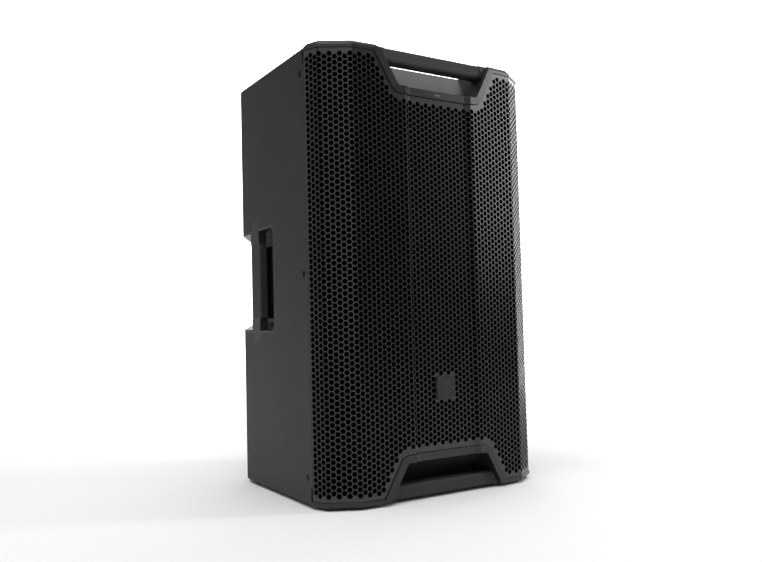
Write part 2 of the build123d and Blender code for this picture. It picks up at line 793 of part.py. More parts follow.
def rigging_inserts():
    """Four threaded inserts, two in the top and two in the bottom."""
    top = Part()
    for x, y in rig_places():
        insert = Pos(x, y, TOP - RIG_LENGTH / 2) * Cylinder(RIG_BODY_R, RIG_LENGTH)
        flange_z = TOP - WALL - RIG_FLANGE / 2
        insert += Pos(x, y, flange_z) * Cylinder(RIG_FLANGE_R, RIG_FLANGE)
        insert -= Pos(x, y, TOP - RIG_LENGTH / 2) * Cylinder(RIG_THREAD_R, 2 * RIG_LENGTH)
        top += insert
    return top + at_bottom(top)


def driver_basket():
    """The cast frame, windowed between its arms."""
    y = BAFFLE_Y
    rim = CUTOUT_R - FRAME_FIT
    inner = rim - FRAME_WALL - FRAME_FIT
    seat = FRAME_SEAT_R
    shape = [
        (FRAME_R, y - GASKET - FRAME_FLANGE),
        (FRAME_R, y - GASKET),
        (rim, y - GASKET),
        (rim, y + BAFFLE_THICKNESS + FRAME_WALL),
        (seat, y + FRAME_DEPTH - FRAME_WALL),
        (seat, y + FRAME_DEPTH),
        (COIL_R + 2 * FRAME_WALL, y + FRAME_DEPTH),
        (COIL_R + 2 * FRAME_WALL, y + FRAME_DEPTH - FRAME_WALL),
        (seat - FRAME_WALL, y + FRAME_DEPTH - 2 * FRAME_WALL),
        (inner, y + BAFFLE_THICKNESS),
        (inner, y - GASKET - FRAME_FLANGE),
    ]
    frame = turned(0, DRIVER_Z, *shape)
    reach = (rim + seat) / 2
    span = rim - seat - 3 * FRAME_WALL
    middle_y = y + (BAFFLE_THICKNESS + FRAME_DEPTH) / 2
    window = Box(span, FRAME_DEPTH, FRAME_WINDOW_HEIGHT)
    for i in range(FRAME_WINDOWS):
        turn = Rot(0, 360 * i / FRAME_WINDOWS, 0)
        frame -= Pos(0, middle_y, DRIVER_Z) * turn * Pos(reach, 0, 0) * window
    for x, z in driver_screw_places():
        frame -= rod(x, z, FRAME_SCREW_R + SCREW_FIT, y - 2 * WALL, y)
    return frame


def driver_gasket():
    """The flat seal between frame and baffle."""
    ring = tube(0, DRIVER_Z, FRAME_R, CUTOUT_R, BAFFLE_Y - GASKET, BAFFLE_Y)
    for x, z in driver_screw_places():
        ring -= rod(x, z, FRAME_SCREW_R + SCREW_FIT, BAFFLE_Y - 2 * WALL, BAFFLE_Y + WALL)
    return ring


def driver_screws():
    """Screws through the frame into the baffle."""
    group = Part()
    face = BAFFLE_Y - GASKET - FRAME_FLANGE
    for x, z in driver_screw_places():
        group += rod(x, z, FRAME_SCREW_R, face - SCREW_FIT, BAFFLE_Y + BAFFLE_THICKNESS / 2)
        group += rod(x, z, 2 * FRAME_SCREW_R, face - FRAME_SCREW_R, face - SCREW_FIT)
    return group


def surround():
    """The half-roll that carries the cone's edge."""
    y = BAFFLE_Y
    middle = CONE_R + CLEAR + ROLL_R
    inner = ROLL_R - ROLL_SHEET
    outside = ThreePointArc((middle - ROLL_R, y), (middle, y - ROLL_R), (middle + ROLL_R, y))
    inside = ThreePointArc((middle + inner, y), (middle, y - inner), (middle - inner, y))
    right = Line((middle + ROLL_R, y), (middle + inner, y))
    left = Line((middle - inner, y), (middle - ROLL_R, y))
    face = make_face([outside, right, inside, left])
    return Pos(0, 0, DRIVER_Z) * revolve(face, Axis.Y)


def cone():
    """The straight-sided paper cone."""
    y = BAFFLE_Y
    neck = COIL_R + FORMER_SHEET + SCREW_FIT
    deep = FRAME_DEPTH - CONE_NECK_SETBACK
    shape = [
        (CONE_R, y - CONE_SHEET),
        (CONE_R, y + CONE_SHEET),
        (neck, y + deep + CONE_SHEET),
        (neck, y + deep - CONE_SHEET),
    ]
    return turned(0, DRIVER_Z, *shape)


def voice_coil():
    """The former with its winding, in the magnet's gap."""
    y = BAFFLE_Y + FRAME_DEPTH
    centre = y + TOP_PLATE / 2
    end = centre + COIL_LENGTH / 2
    outer = COIL_R + FORMER_SHEET
    former = tube(0, DRIVER_Z, outer, COIL_R, y - CONE_NECK_SETBACK - CONE_SHEET, end)
    winding = tube(0, DRIVER_Z, outer + COIL_THICKNESS, COIL_R, end - COIL_LENGTH, end)
    return former + winding


def spider():
    """The flat suspension behind the cone."""
    y = BAFFLE_Y + FRAME_DEPTH - SPIDER_SETBACK
    inner = COIL_R + FORMER_SHEET + SCREW_FIT
    return tube(0, DRIVER_Z, FRAME_SEAT_R - FRAME_WALL, inner, y, y + CONE_SHEET)


def top_plate():
    """The steel plate round the coil's gap."""
    y = BAFFLE_Y + FRAME_DEPTH
    inner = COIL_R + FORMER_SHEET + COIL_THICKNESS + COIL_GAP
    return tube(0, DRIVER_Z, BACK_PLATE_R, inner, y, y + TOP_PLATE)


def magnet():
    """The ring magnet."""
    y = BAFFLE_Y + FRAME_DEPTH + TOP_PLATE
    return tube(0, DRIVER_Z, MAGNET_R, MAGNET_BORE_R, y, y + MAGNET_HEIGHT)


def pole_yoke():
    """The back plate with the bored pole piece."""
    y = BAFFLE_Y + FRAME_DEPTH
    back = y + TOP_PLATE + MAGNET_HEIGHT
    shape = [
        (POLE_PIECE_BORE_R, y),
        (COIL_R - COIL_GAP, y),
        (COIL_R - COIL_GAP, back),
        (BACK_PLATE_R, back),
        (BACK_PLATE_R, back + BACK_PLATE),
        (POLE_PIECE_BORE_R, back + BACK_PLATE),
    ]
    return turned(0, DRIVER_Z, *shape)


def compression_driver():
    """The high-frequency unit behind the magnet."""
    y = BAFFLE_Y + FRAME_DEPTH + TOP_PLATE + MAGNET_HEIGHT + BACK_PLATE
    body = tube(0, DRIVER_Z, HF_R, THROAT_R, y, y + HF_LENGTH / 2)
    cover = tube(0, DRIVER_Z, HF_R - WALL, 0, y + HF_LENGTH / 2, y + HF_LENGTH)
    return body + cover


def horn():
    """A rectangular horn on a neck through the pole piece."""
    start = BAFFLE_Y + FRAME_DEPTH + TOP_PLATE + MAGNET_HEIGHT + BACK_PLATE
    throat = BAFFLE_Y + 2 * FRAME_WALL
    mouth = BAFFLE_Y - 2 * FRAME_WALL
    flares = []
    for grow in (0, HORN_WALL):
        round_end = Plane(origin=(0, throat, DRIVER_Z), z_dir=(0, -1, 0)) * Circle(THROAT_R + grow)
        width = HORN_MOUTH_WIDTH + 2 * grow
        height = HORN_MOUTH_HEIGHT + 2 * grow
        plane = Plane(origin=(0, mouth, DRIVER_Z), x_dir=(1, 0, 0), z_dir=(0, -1, 0))
        square_end = plane * RectangleRounded(width, height, WALL)
        flares.append(loft([round_end.face(), square_end.face()]))
    neck = tube(0, DRIVER_Z, HORN_NECK_R, THROAT_R, throat - HORN_WALL, start)
    return flares[1] + neck - flares[0]


def port(x):
    """A flanged bass-reflex tube."""
    z = BOTTOM + PORT_RISE
    outer = PORT_R + PORT_WALL
    front = BAFFLE_Y - PORT_FLANGE
    body = tube(x, z, outer, PORT_R, front, BAFFLE_Y + PORT_LENGTH)
    return body + tube(x, z, PORT_FLANGE_R, PORT_R, front, BAFFLE_Y)


def damping_lining():
    """The wadding on the inside of the back, above the amplifier."""
    low = AMP_Z + AMP_HALF_HEIGHT + 4 * AMP_FRAME
    high = TOP - WALL - LINING
    reach = CUP_FLOOR_HALF - CUP_RELIEF_DEPTH - 2 * CUP_WALL
    return block(-reach, reach, REAR_Y - WALL - CLEAR - LINING, REAR_Y - WALL - CLEAR, low, high)


def panel_rod(x, drop, radius, y0, y1):
    """A round bar through the amplifier panel at a control's place."""
    return rod(x, AMP_Z - drop, radius, y0, y1)


def panel_block(x, drop, half_x, half_z, y0, y1):
    """A slab through the amplifier panel at a control's place."""
    return block(x - half_x, x + half_x, y0, y1, AMP_Z - drop - half_z, AMP_Z - drop + half_z)


def amp_panel():
    """The amplifier's aluminium face plate, cut out for everything on it."""
    back = PANEL_Y - AMP_PANEL
    low = back - WALL
    high = PANEL_Y + WALL
    plate = amp_block(-CLEAR, back, PANEL_Y)
    plate -= panel_block(0, -SINK_RISE, SINK_HALF_WIDTH, SINK_HALF_HEIGHT, low, high)
    hole_x = DISPLAY_HALF_WIDTH + SCREW_FIT
    hole_z = DISPLAY_HALF_HEIGHT + SCREW_FIT
    plate -= panel_block(0, DISPLAY_DROP, hole_x, hole_z, low, high)
    for x in (-GAIN_X, GAIN_X):
        plate -= panel_rod(x, GAIN_DROP, SHAFT_R + SCREW_FIT, low, high)
    plate -= panel_rod(0, ENCODER_DROP + GAIN_DROP / 2, SHAFT_R + RUNNING_FIT, low, high)
    for x in (-SOCKET_X, 0, SOCKET_X):
        plate -= panel_rod(x, SOCKET_DROP, SOCKET_R + SCREW_FIT, low, high)
    for x in (-SOCKET_X, SOCKET_X):
        plate -= latch_place(x, CLEAR, low, high)
    mains_x = MAINS_HALF_WIDTH + SCREW_FIT
    mains_z = MAINS_HALF_HEIGHT + SCREW_FIT
    plate -= panel_block(MAINS_X, MAINS_DROP, mains_x, mains_z, low, high)
    rocker_x = ROCKER_HALF_WIDTH + 2 * CLEAR
    rocker_z = ROCKER_HALF_HEIGHT + 2 * CLEAR
    plate -= panel_block(ROCKER_X, MAINS_DROP, rocker_x, rocker_z, low, high)
    for x, z in amp_screw_places():
        plate -= rod(x, z, AMP_SCREW_R + SCREW_FIT, low, high)
    return plate


def amp_seal():
    """The foam seal between the face plate and the shell's ledge."""
    start = REAR_Y - AMP_RECESS
    ring = amp_block(-CLEAR, start, start + AMP_SEAL) - amp_block(-AMP_LEDGE, 0, DEPTH)
    for x, z in amp_screw_places():
        ring -= rod(x, z, AMP_SCREW_R + SCREW_FIT, 0, DEPTH)
    return ring


def amp_case():
    """The sealed sheet-metal box round the electronics."""
    inset = -AMP_LEDGE - CLEAR
    back = REAR_Y - AMP_RECESS + AMP_SEAL
    case = amp_block(inset, back - AMP_CASE_DEPTH, back)
    sheet = AMP_CASE_SHEET
    return case - amp_block(inset - sheet, back - AMP_CASE_DEPTH + sheet, back)


def heat_sink():
    """The finned heat sink let into the face plate."""
    half_x = SINK_HALF_WIDTH - CLEAR
    half_z = SINK_HALF_HEIGHT - CLEAR
    top = PANEL_Y - CLEAR
    root = top - SINK_FIN_LENGTH
    sink = panel_block(0, -SINK_RISE, half_x, half_z, root - SINK_BASE, root)
    step = 2 * (half_x - SINK_FIN / 2) / (SINK_FINS - 1)
    for i in range(SINK_FINS):
        x = -half_x + SINK_FIN / 2 + i * step
        sink += panel_block(x, -SINK_RISE, SINK_FIN / 2, half_z, root, top)
    return sink


def amplifier_board():
    """The amplifier's circuit board against the heat sink."""
    root = PANEL_Y - CLEAR - SINK_FIN_LENGTH - SINK_BASE
    face = root - 3 * WALL
    drop = -SINK_RISE
    board = panel_block(0, drop, BOARD_HALF_WIDTH, BOARD_HALF_HEIGHT, face - BOARD, face)
    for i in range(4):
        x = (i - 1.5) * BOARD_HALF_WIDTH / 2.5
        board += panel_block(x, drop, WALL, 2 * WALL, face, root - CLEAR)
        board += panel_rod(x, drop - 5 * WALL, 1.5 * WALL, face - 3 * WALL, face)
    return board


def power_supply():
    """The power supply board with its transformer and reservoir capacitors."""
    face = REAR_Y - AMP_RECESS + AMP_SEAL - AMP_CASE_DEPTH + AMP_CASE_SHEET + WALL
    half_z = BOARD_HALF_HEIGHT
    board = panel_block(0, SOCKET_DROP, BOARD_HALF_WIDTH, half_z, face - BOARD, face)
    board += panel_block(0, SOCKET_DROP, 4 * WALL, 4 * WALL, face, face + 3 * WALL)
    for x in (-BOARD_HALF_WIDTH / 1.6, BOARD_HALF_WIDTH / 1.6):
        board += panel_rod(x, SOCKET_DROP, 2 * WALL, face, face + 3 * WALL)
    return board


def display_window():
    """The clear window over the settings display."""
    half_x = DISPLAY_HALF_WIDTH
    half_z = DISPLAY_HALF_HEIGHT
    front = PANEL_Y - AMP_PANEL
    return panel_block(0, DISPLAY_DROP, half_x, half_z, front, PANEL_Y + DISPLAY_PROUD)


def knob(x, drop, radius, bore):
    """A ribbed knob in front of the panel, on its shaft's axis."""
    start = PANEL_Y + CLEAR
    end = start + KNOB_HEIGHT
    body = panel_rod(x, drop, radius, start, end)
    body = chamfer(body.edges().group_by(Axis.Y)[-1], KNOB_CHAMFER)
    for i in range(KNOB_RIBS):
        a = radians(360 * i / KNOB_RIBS)
        groove_x = x + radius * cos(a)
        body -= panel_rod(groove_x, drop - radius * sin(a), radius / KNOB_RIBS, start, end)
    half_x = KNOB_MARK_WIDTH / 2
    half_z = radius / 2 - KNOB_CHAMFER
    body -= panel_block(x, drop - radius / 2, half_x, half_z, end - KNOB_MARK_DEPTH, end)
    if bore:
        body -= panel_rod(x, drop, bore, start, end - KNOB_CAP)
    return body


def gain_knob(x):
    """A gain knob with its shaft through the panel."""
    end = PANEL_Y + CLEAR + KNOB_HEIGHT / 2
    shaft = panel_rod(x, GAIN_DROP, SHAFT_R, PANEL_Y - SHAFT_LENGTH, end)
    return knob(x, GAIN_DROP, KNOB_R, 0) + shaft


def encoder_shaft():
    """The menu encoder's turning shaft."""
    drop = ENCODER_DROP + GAIN_DROP / 2
    end = PANEL_Y + CLEAR + KNOB_HEIGHT - KNOB_CAP - KNOB_CHAMFER
    return panel_rod(0, drop, SHAFT_R, PANEL_Y - SHAFT_LENGTH, end)


def menu_knob():
    """The menu encoder's push knob, sliding on its shaft."""
    drop = ENCODER_DROP + GAIN_DROP / 2
    return Pos(0, ENCODER_STAND, 0) * knob(0, drop, ENCODER_R, SHAFT_R + RUNNING_FIT)


def latch_place(x, grow, y0, y1):
    """The release tab's place above a socket's bore."""
    drop = SOCKET_DROP - SOCKET_HALF_HEIGHT + 1.6 * LATCH_HALF_HEIGHT
    return panel_block(x, drop, LATCH_HALF_WIDTH + grow, LATCH_HALF_HEIGHT + grow, y0, y1)


def combo_socket(x):
    """A combined microphone and jack socket with a slot for its release tab."""
    face = PANEL_Y + SOCKET_PLATE
    start = PANEL_Y - SOCKET_DEPTH
    body = panel_block(x, SOCKET_DROP, SOCKET_HALF_WIDTH, SOCKET_HALF_HEIGHT, PANEL_Y, face)
    body += panel_rod(x, SOCKET_DROP, SOCKET_R, start, PANEL_Y)
    body -= panel_rod(x, SOCKET_DROP, SOCKET_BORE_R, start + SOCKET_FLOOR, face)
    core = panel_rod(x, SOCKET_DROP, SOCKET_CORE_R, start, PANEL_Y - SOCKET_CORE_SETBACK)
    core -= panel_rod(x, SOCKET_DROP, JACK_R, start + SOCKET_FLOOR, PANEL_Y)
    return body + core - latch_place(x, CLEAR, PANEL_Y - LATCH_TRAVEL, face)


def latch_tab(x):
    """The spring tab that lets a plug go."""
    stop = PANEL_Y + SOCKET_PLATE + LATCH_TRAVEL
    return latch_place(x, 0, PANEL_Y + CLEAR, stop)


def link_output():
    """The three-pin output socket."""
    face = PANEL_Y + SOCKET_PLATE
    start = PANEL_Y - SOCKET_DEPTH
    body = panel_block(0, SOCKET_DROP, SOCKET_HALF_WIDTH, SOCKET_HALF_HEIGHT, PANEL_Y, face)
    body += panel_rod(0, SOCKET_DROP, SOCKET_R, start, PANEL_Y)
    body -= panel_rod(0, SOCKET_DROP, SOCKET_BORE_R, start + SOCKET_FLOOR, face)
    for a in PIN_ANGLES:
        x = PIN_CIRCLE * cos(radians(a))
        drop = SOCKET_DROP - PIN_CIRCLE * sin(radians(a))
        body += panel_rod(x, drop, PIN_R, start, PANEL_Y - SOCKET_CORE_SETBACK)
    return body


def mains_inlet():
    """The recessed mains inlet with its three blades."""
    face = PANEL_Y + SOCKET_PLATE
    half_x = MAINS_HALF_WIDTH
    half_z = MAINS_HALF_HEIGHT
    rim_x = half_x + MAINS_RIM
    rim_z = half_z + MAINS_RIM
    body = panel_block(MAINS_X, MAINS_DROP, half_x, half_z, PANEL_Y - MAINS_DEPTH, PANEL_Y)
    body += panel_block(MAINS_X, MAINS_DROP, rim_x, rim_z, PANEL_Y, face)
    start = PANEL_Y - MAINS_DEPTH + MAINS_FLOOR
    inner_x = half_x - MAINS_WALL
    inner_z = half_z - MAINS_WALL
    body -= panel_block(MAINS_X, MAINS_DROP, inner_x, inner_z, start, face)
    wide = MAINS_PIN_HALF_WIDTH
    tall = MAINS_PIN_HALF_HEIGHT
    tip = PANEL_Y - MAINS_PIN_SETBACK
    for x, drop in MAINS_PINS:
        body += panel_block(MAINS_X + x, MAINS_DROP + drop, wide, tall, start, tip)
    return body


def rocker_frame():
    """The power switch's housing."""
    half_x = ROCKER_HALF_WIDTH
    half_z = ROCKER_HALF_HEIGHT
    start = PANEL_Y - ROCKER_DEPTH
    face = PANEL_Y + ROCKER_PROUD
    rim_x = half_x + ROCKER_RIM
    rim_z = half_z + ROCKER_RIM
    body = panel_block(ROCKER_X, MAINS_DROP, rim_x, rim_z, PANEL_Y, face)
    body += panel_block(ROCKER_X, MAINS_DROP, half_x + CLEAR, half_z + CLEAR, start, PANEL_Y)
    inner_x = half_x - ROCKER_WALL
    inner_z = half_z - ROCKER_WALL
    return body - panel_block(ROCKER_X, MAINS_DROP, inner_x, inner_z, start + ROCKER_WALL, face)


def power_rocker():
    """The power switch's rocker, tipping about an upright axis through its middle."""
    half_x = ROCKER_HALF_WIDTH - ROCKER_WALL - ROCKER_GAP
    half_z = ROCKER_HALF_HEIGHT - ROCKER_WALL - ROCKER_GAP
    high = PANEL_Y + ROCKER_PROUD
    low = high - ROCKER_THICKNESS
    body = panel_block(ROCKER_X, MAINS_DROP, half_x, half_z, low, high)
    return fillet(body.edges().group_by(Axis.Y)[-1], ROCKER_EDGE)


def amp_screws():
    """The screws round the amplifier panel."""
    group = Part()
    for x, z in amp_screw_places():
        end = REAR_Y - AMP_RECESS - AMP_LEDGE_THICKNESS
        group += rod(x, z, AMP_SCREW_R, end, PANEL_Y + SCREW_FIT)
        group += rod(x, z, 2 * AMP_SCREW_R, PANEL_Y + SCREW_FIT, PANEL_Y + AMP_SCREW_R)
    return group


def nodes():
    """Every node by name."""
    cup = side_cup()
    strap = side_handle()
    grip = side_grip()
    made = {
        "rear_shell": rear_shell(),
        "front_moulding": front_moulding(),
        "light_pipe": light_pipe(),
        "grille": grille(),
        "grille_foam": grille_foam(),
        "badge": badge(),
        "badge_clip": badge_clip(),
        "top_handle_bar": handle_bar(CAP_RISE),
        "top_handle_grip": handle_grip(CAP_RISE),
        "bottom_handle_bar": at_bottom(handle_bar(0)),
        "bottom_handle_grip": at_bottom(handle_grip(0)),
        "side_cup_right": cup,
        "side_cup_left": left_of(cup),
        "side_handle_right": strap,
        "side_handle_left": left_of(strap),
        "side_grip_right": grip,
        "side_grip_left": left_of(grip),
        "side_handle_screws": side_handle_screws(),
        "side_screws": side_screws(),
        "pole_socket": pole_socket(),
        "rigging_inserts": rigging_inserts(),
        "driver_basket": driver_basket(),
        "driver_gasket": driver_gasket(),
        "driver_screws": driver_screws(),
        "surround": surround(),
        "cone": cone(),
        "voice_coil": voice_coil(),
        "spider": spider(),
        "top_plate": top_plate(),
        "magnet": magnet(),
        "pole_yoke": pole_yoke(),
        "compression_driver": compression_driver(),
        "horn": horn(),
        "port_left": port(-PORT_X),
        "port_right": port(PORT_X),
        "damping_lining": damping_lining(),
        "amp_panel": amp_panel(),
        "amp_seal": amp_seal(),
        "amp_case": amp_case(),
        "heat_sink": heat_sink(),
        "amplifier_board": amplifier_board(),
        "power_supply": power_supply(),
        "display_window": display_window(),
        "gain_knob_1": gain_knob(GAIN_X),
        "gain_knob_2": gain_knob(-GAIN_X),
        "encoder_shaft": encoder_shaft(),
        "menu_knob": menu_knob(),
        "combo_socket_1": combo_socket(SOCKET_X),
        "combo_socket_2": combo_socket(-SOCKET_X),
        "latch_tab_1": latch_tab(SOCKET_X),
        "latch_tab_2": latch_tab(-SOCKET_X),
        "link_output": link_output(),
        "mains_inlet": mains_inlet(),
        "rocker_frame": rocker_frame(),
        "power_rocker": power_rocker(),
        "amp_screws": amp_screws(),
    }
    for name, (x, y) in foot_places().items():
        made[name] = foot(x, y, WALL)
    return made


os.makedirs("parts", exist_ok=True)
for name, shape in nodes().items():
    export_step(shape, f"parts/{name}.step")
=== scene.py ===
import math

import bmesh
import bpy
from mathutils import Matrix, Vector


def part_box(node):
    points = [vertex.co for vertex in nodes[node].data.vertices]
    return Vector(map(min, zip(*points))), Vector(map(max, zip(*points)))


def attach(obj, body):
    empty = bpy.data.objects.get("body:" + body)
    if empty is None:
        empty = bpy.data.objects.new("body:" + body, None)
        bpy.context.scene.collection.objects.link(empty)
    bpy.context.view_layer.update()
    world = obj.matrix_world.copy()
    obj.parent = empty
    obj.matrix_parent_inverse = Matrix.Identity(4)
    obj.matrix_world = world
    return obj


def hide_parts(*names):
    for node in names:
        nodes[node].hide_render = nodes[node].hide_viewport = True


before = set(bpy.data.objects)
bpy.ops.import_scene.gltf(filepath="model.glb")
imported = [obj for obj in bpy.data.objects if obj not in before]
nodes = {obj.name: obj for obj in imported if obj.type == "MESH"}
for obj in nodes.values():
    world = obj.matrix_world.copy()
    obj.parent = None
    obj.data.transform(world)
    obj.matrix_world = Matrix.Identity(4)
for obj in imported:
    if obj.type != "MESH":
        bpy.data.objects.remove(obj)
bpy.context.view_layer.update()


# Camera. It stands to the left of the cabinet, a little below its middle, and looks slightly up at
# it. Its place is measured from the cabinet's middle plane, the grille's face and the shell's bottom.
CAMERA_SIDE = -0.8548
CAMERA_AWAY = 1.0608
CAMERA_RISE = 0.2749
CAMERA_LENS = 40.1
SENSOR_WIDTH = 36
FAR_CLIP = 50
shell_low, shell_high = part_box("rear_shell")
grille_low, grille_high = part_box("grille")
STEP_RISE = 0.0051
FACE_Y = grille_low.y + STEP_RISE
BODY_BOTTOM = shell_low.z
BODY_TOP = shell_high.z

camera_place = Vector((CAMERA_SIDE, FACE_Y - CAMERA_AWAY, BODY_BOTTOM + CAMERA_RISE))
camera_yaw = math.radians(34.738)
camera_pitch = math.radians(2.721)
camera_roll = math.radians(-1.488)
ahead = Vector((
    math.sin(camera_yaw) * math.cos(camera_pitch),
    math.cos(camera_yaw) * math.cos(camera_pitch),
    math.sin(camera_pitch),
))
level_right = Vector((math.cos(camera_yaw), -math.sin(camera_yaw), 0))
level_up = level_right.cross(ahead)
camera_right = math.cos(camera_roll) * level_right + math.sin(camera_roll) * level_up
camera_up = -math.sin(camera_roll) * level_right + math.cos(camera_roll) * level_up
camera_data = bpy.data.cameras.new("camera")
camera_data.sensor_width = SENSOR_WIDTH
camera_data.lens = CAMERA_LENS
camera_data.clip_end = FAR_CLIP
camera = bpy.data.objects.new("camera", camera_data)
turn = Matrix((camera_right, camera_up, -ahead)).transposed().to_4x4()
camera.matrix_world = Matrix.Translation(camera_place) @ turn
bpy.context.scene.collection.objects.link(camera)
bpy.context.scene.camera = camera


# Rear shell. One charcoal polypropylene moulding with a fine pebbled texture all over, a little
# shinier where it has been rubbed. It slides over the front moulding and is screwed to it.
class Value:
    """One output in a material's nodes, that ordinary arithmetic works on."""

    def __init__(self, finish, socket):
        self.finish = finish
        self.socket = socket

    def maths(self, operation, other):
        return self.finish.node("ShaderNodeMath", {"operation": operation}, {0: self, 1: other})

    def sine(self):
        return self.finish.node("ShaderNodeMath", {"operation": "SINE"}, {0: self})

    def __add__(self, other):
        return self.maths("ADD", other)

    def __radd__(self, other):
        return self.maths("ADD", other)

    def __mul__(self, other):
        return self.maths("MULTIPLY", other)

    def __rmul__(self, other):
        return self.maths("MULTIPLY", other)


class Finish:
    """A material, and the nodes that it is made of."""

    def __init__(self, name):
        self.material = bpy.data.materials.new(name)
        self.material.use_nodes = True
        self.tree = self.material.node_tree
        self.tree.nodes.clear()
        self.place = self.node("ShaderNodeTexCoord", out="Object")

    def node(self, kind, settings=None, sockets=None, out=0):
        made = self.tree.nodes.new(kind)
        for key, value in (settings or {}).items():
            if key == "stops":
                while len(made.color_ramp.elements) < len(value):
                    made.color_ramp.elements.new(1)
                for stop, (at, colour) in zip(made.color_ramp.elements, value):
                    stop.position = at
                    stop.color = (*colour, 1)
            else:
                setattr(made, key, value)
        for key, value in (sockets or {}).items():
            if isinstance(value, Value):
                self.tree.links.new(value.socket, made.inputs[key])
            else:
                made.inputs[key].default_value = value
        return Value(self, made.outputs[out])

    def noise(self, scale, detail=2, place=None):
        sockets = {"Vector": place or self.place, "Scale": scale, "Detail": detail}
        return self.node("ShaderNodeTexNoise", None, sockets)

    def cells(self, scale, feature="F1"):
        sockets = {"Vector": self.place, "Scale": scale}
        return self.node("ShaderNodeTexVoronoi", {"feature": feature}, sockets)

    def axes(self):
        split = self.node("ShaderNodeSeparateXYZ", None, {0: self.place})
        made = split.socket.node
        return [Value(self, made.outputs[axis]) for axis in "XYZ"]

    def moved(self, shift=(0, 0, 0), turn=(0, 0, 0), scale=(1, 1, 1)):
        sockets = {"Vector": self.place, "Location": shift, "Rotation": turn, "Scale": scale}
        return self.node("ShaderNodeMapping", None, sockets)

    def ramp(self, value, *stops):
        return self.node("ShaderNodeValToRGB", {"stops": stops}, {"Fac": value})

    def spread(self, value, low, high, to_low=0.0, to_high=1.0):
        sockets = {"Value": value, "From Min": low, "From Max": high, "To Min": to_low, "To Max": to_high}
        return self.node("ShaderNodeMapRange", None, sockets)

    def bump(self, height, distance, strength=1.0, round_edge=None):
        sockets = {"Height": height, "Distance": distance, "Strength": strength}
        if round_edge:
            sockets["Normal"] = self.node("ShaderNodeBevel", {"samples": 4}, {"Radius": round_edge})
        return self.node("ShaderNodeBump", None, sockets)

    def shade(self, **sockets):
        named = {key.replace("_", " "): value for key, value in sockets.items()}
        for key, value in named.items():
            if isinstance(value, tuple) and len(value) == 3:
                named[key] = (*value, 1)
        shader = self.node("ShaderNodeBsdfPrincipled", None, named)
        end = self.tree.nodes.new("ShaderNodeOutputMaterial")
        self.tree.links.new(shader.socket, end.inputs["Surface"])
        return self.material


def paint(material, *names):
    """Gives CAD nodes a material."""
    for name in names:
        mesh = nodes[name].data
        mesh.materials.clear()
        mesh.materials.append(material)


def pebbled_moulding():
    finish = Finish("pebbled_moulding")
    pebbles = finish.cells(1100, "SMOOTH_F1")
    patches = finish.noise(7, 4)
    grain = finish.noise(2600, 2)
    speckle = finish.noise(420, 2)
    tone = patches * 0.3 + pebbles * 0.2 + speckle * 0.6
    colour = finish.ramp(tone, (0.42, (0.004, 0.0041, 0.005)), (0.68, (0.0225, 0.023, 0.026)))
    rough = finish.spread(patches + grain * 0.2, 0.3, 0.8, 0.46, 0.58)
    normal = finish.bump(pebbles * 0.8 + grain * 0.3, 0.00016, 0.9, round_edge=0.0012)
    return finish.shade(Base_Color=colour, Roughness=rough, Normal=normal, Specular_IOR_Level=0.3)


paint(pebbled_moulding(), "rear_shell")


# Front moulding. The caps, lips and hand pockets are one satin moulding in the same plastic, with a
# much finer grain, faint flow lines and edges polished by handling.
def satin_moulding(name, light, rough_low, rough_high):
    finish = Finish(name)
    grain = finish.noise(2400, 3)
    patches = finish.noise(11, 4)
    flow = finish.noise(60, 2, finish.moved(scale=(0.2, 1, 4)))
    dark = tuple(value * 0.78 for value in light)
    colour = finish.ramp(patches * 0.7 + flow * 0.3, (0.3, dark), (0.72, light))
    rough = finish.spread(patches + flow * 0.5, 0.4, 1.0, rough_low, rough_high)
    normal = finish.bump(grain + flow * 0.2, 0.00007, 0.6, round_edge=0.001)
    return finish.shade(Base_Color=colour, Roughness=rough, Normal=normal, Specular_IOR_Level=0.4)


satin = satin_moulding("satin_moulding", (0.017, 0.0174, 0.019), 0.27, 0.36)
paint(satin, "front_moulding")


# Light pipe. A clear acrylic bar let into the middle of the top lip, lit from behind when the
# cabinet is on, and milky grey when it is off as here.
def milky_acrylic():
    finish = Finish("milky_acrylic")
    haze = finish.noise(500, 3)
    colour = finish.ramp(haze, (0.3, (0.10, 0.105, 0.11)), (0.7, (0.14, 0.145, 0.15)))
    normal = finish.bump(haze, 0.00005, 0.3)
    return finish.shade(Base_Color=colour, Roughness=0.2, Normal=normal, Coat_Weight=0.3)


paint(milky_acrylic(), "light_pipe")


# Grille. Folded from steel sheet with a close hexagonal perforation, cut out round both pockets
# with a plain border, and powder coated black. It is held under the caps and screwed to the ledges.
HOLE_PITCH = 0.0091
HOLE_ACROSS = 0.0074
COLUMN_STEP = HOLE_PITCH * math.sqrt(3) / 2
SHEET = 0.0010
END_MARGIN = 0.0065
SIDE_MARGIN = 0.0050
LIP_MARGIN = 0.0085
CENTRE_HALF = 0.057
STEP_RUN = 0.0092
INNER_FALL = 0.0066
OUTER_RUN = 0.0444
OUTER_FALL = 0.0281
WRAP_RUN = 0.009
FOLD_ROUND = 0.006
STEP_ROUND = 0.0030

side_x = grille_high.x
wrap_x = shell_high.x - WRAP_RUN
inner_x = wrap_x - OUTER_RUN
fold_half = [
    Vector((CENTRE_HALF, FACE_Y)),
    Vector((CENTRE_HALF + STEP_RUN, FACE_Y - STEP_RISE)),
    Vector((inner_x, FACE_Y - STEP_RISE + INNER_FALL)),
    Vector((wrap_x, FACE_Y - STEP_RISE + INNER_FALL + OUTER_FALL)),
    Vector((side_x, grille_high.y)),
]


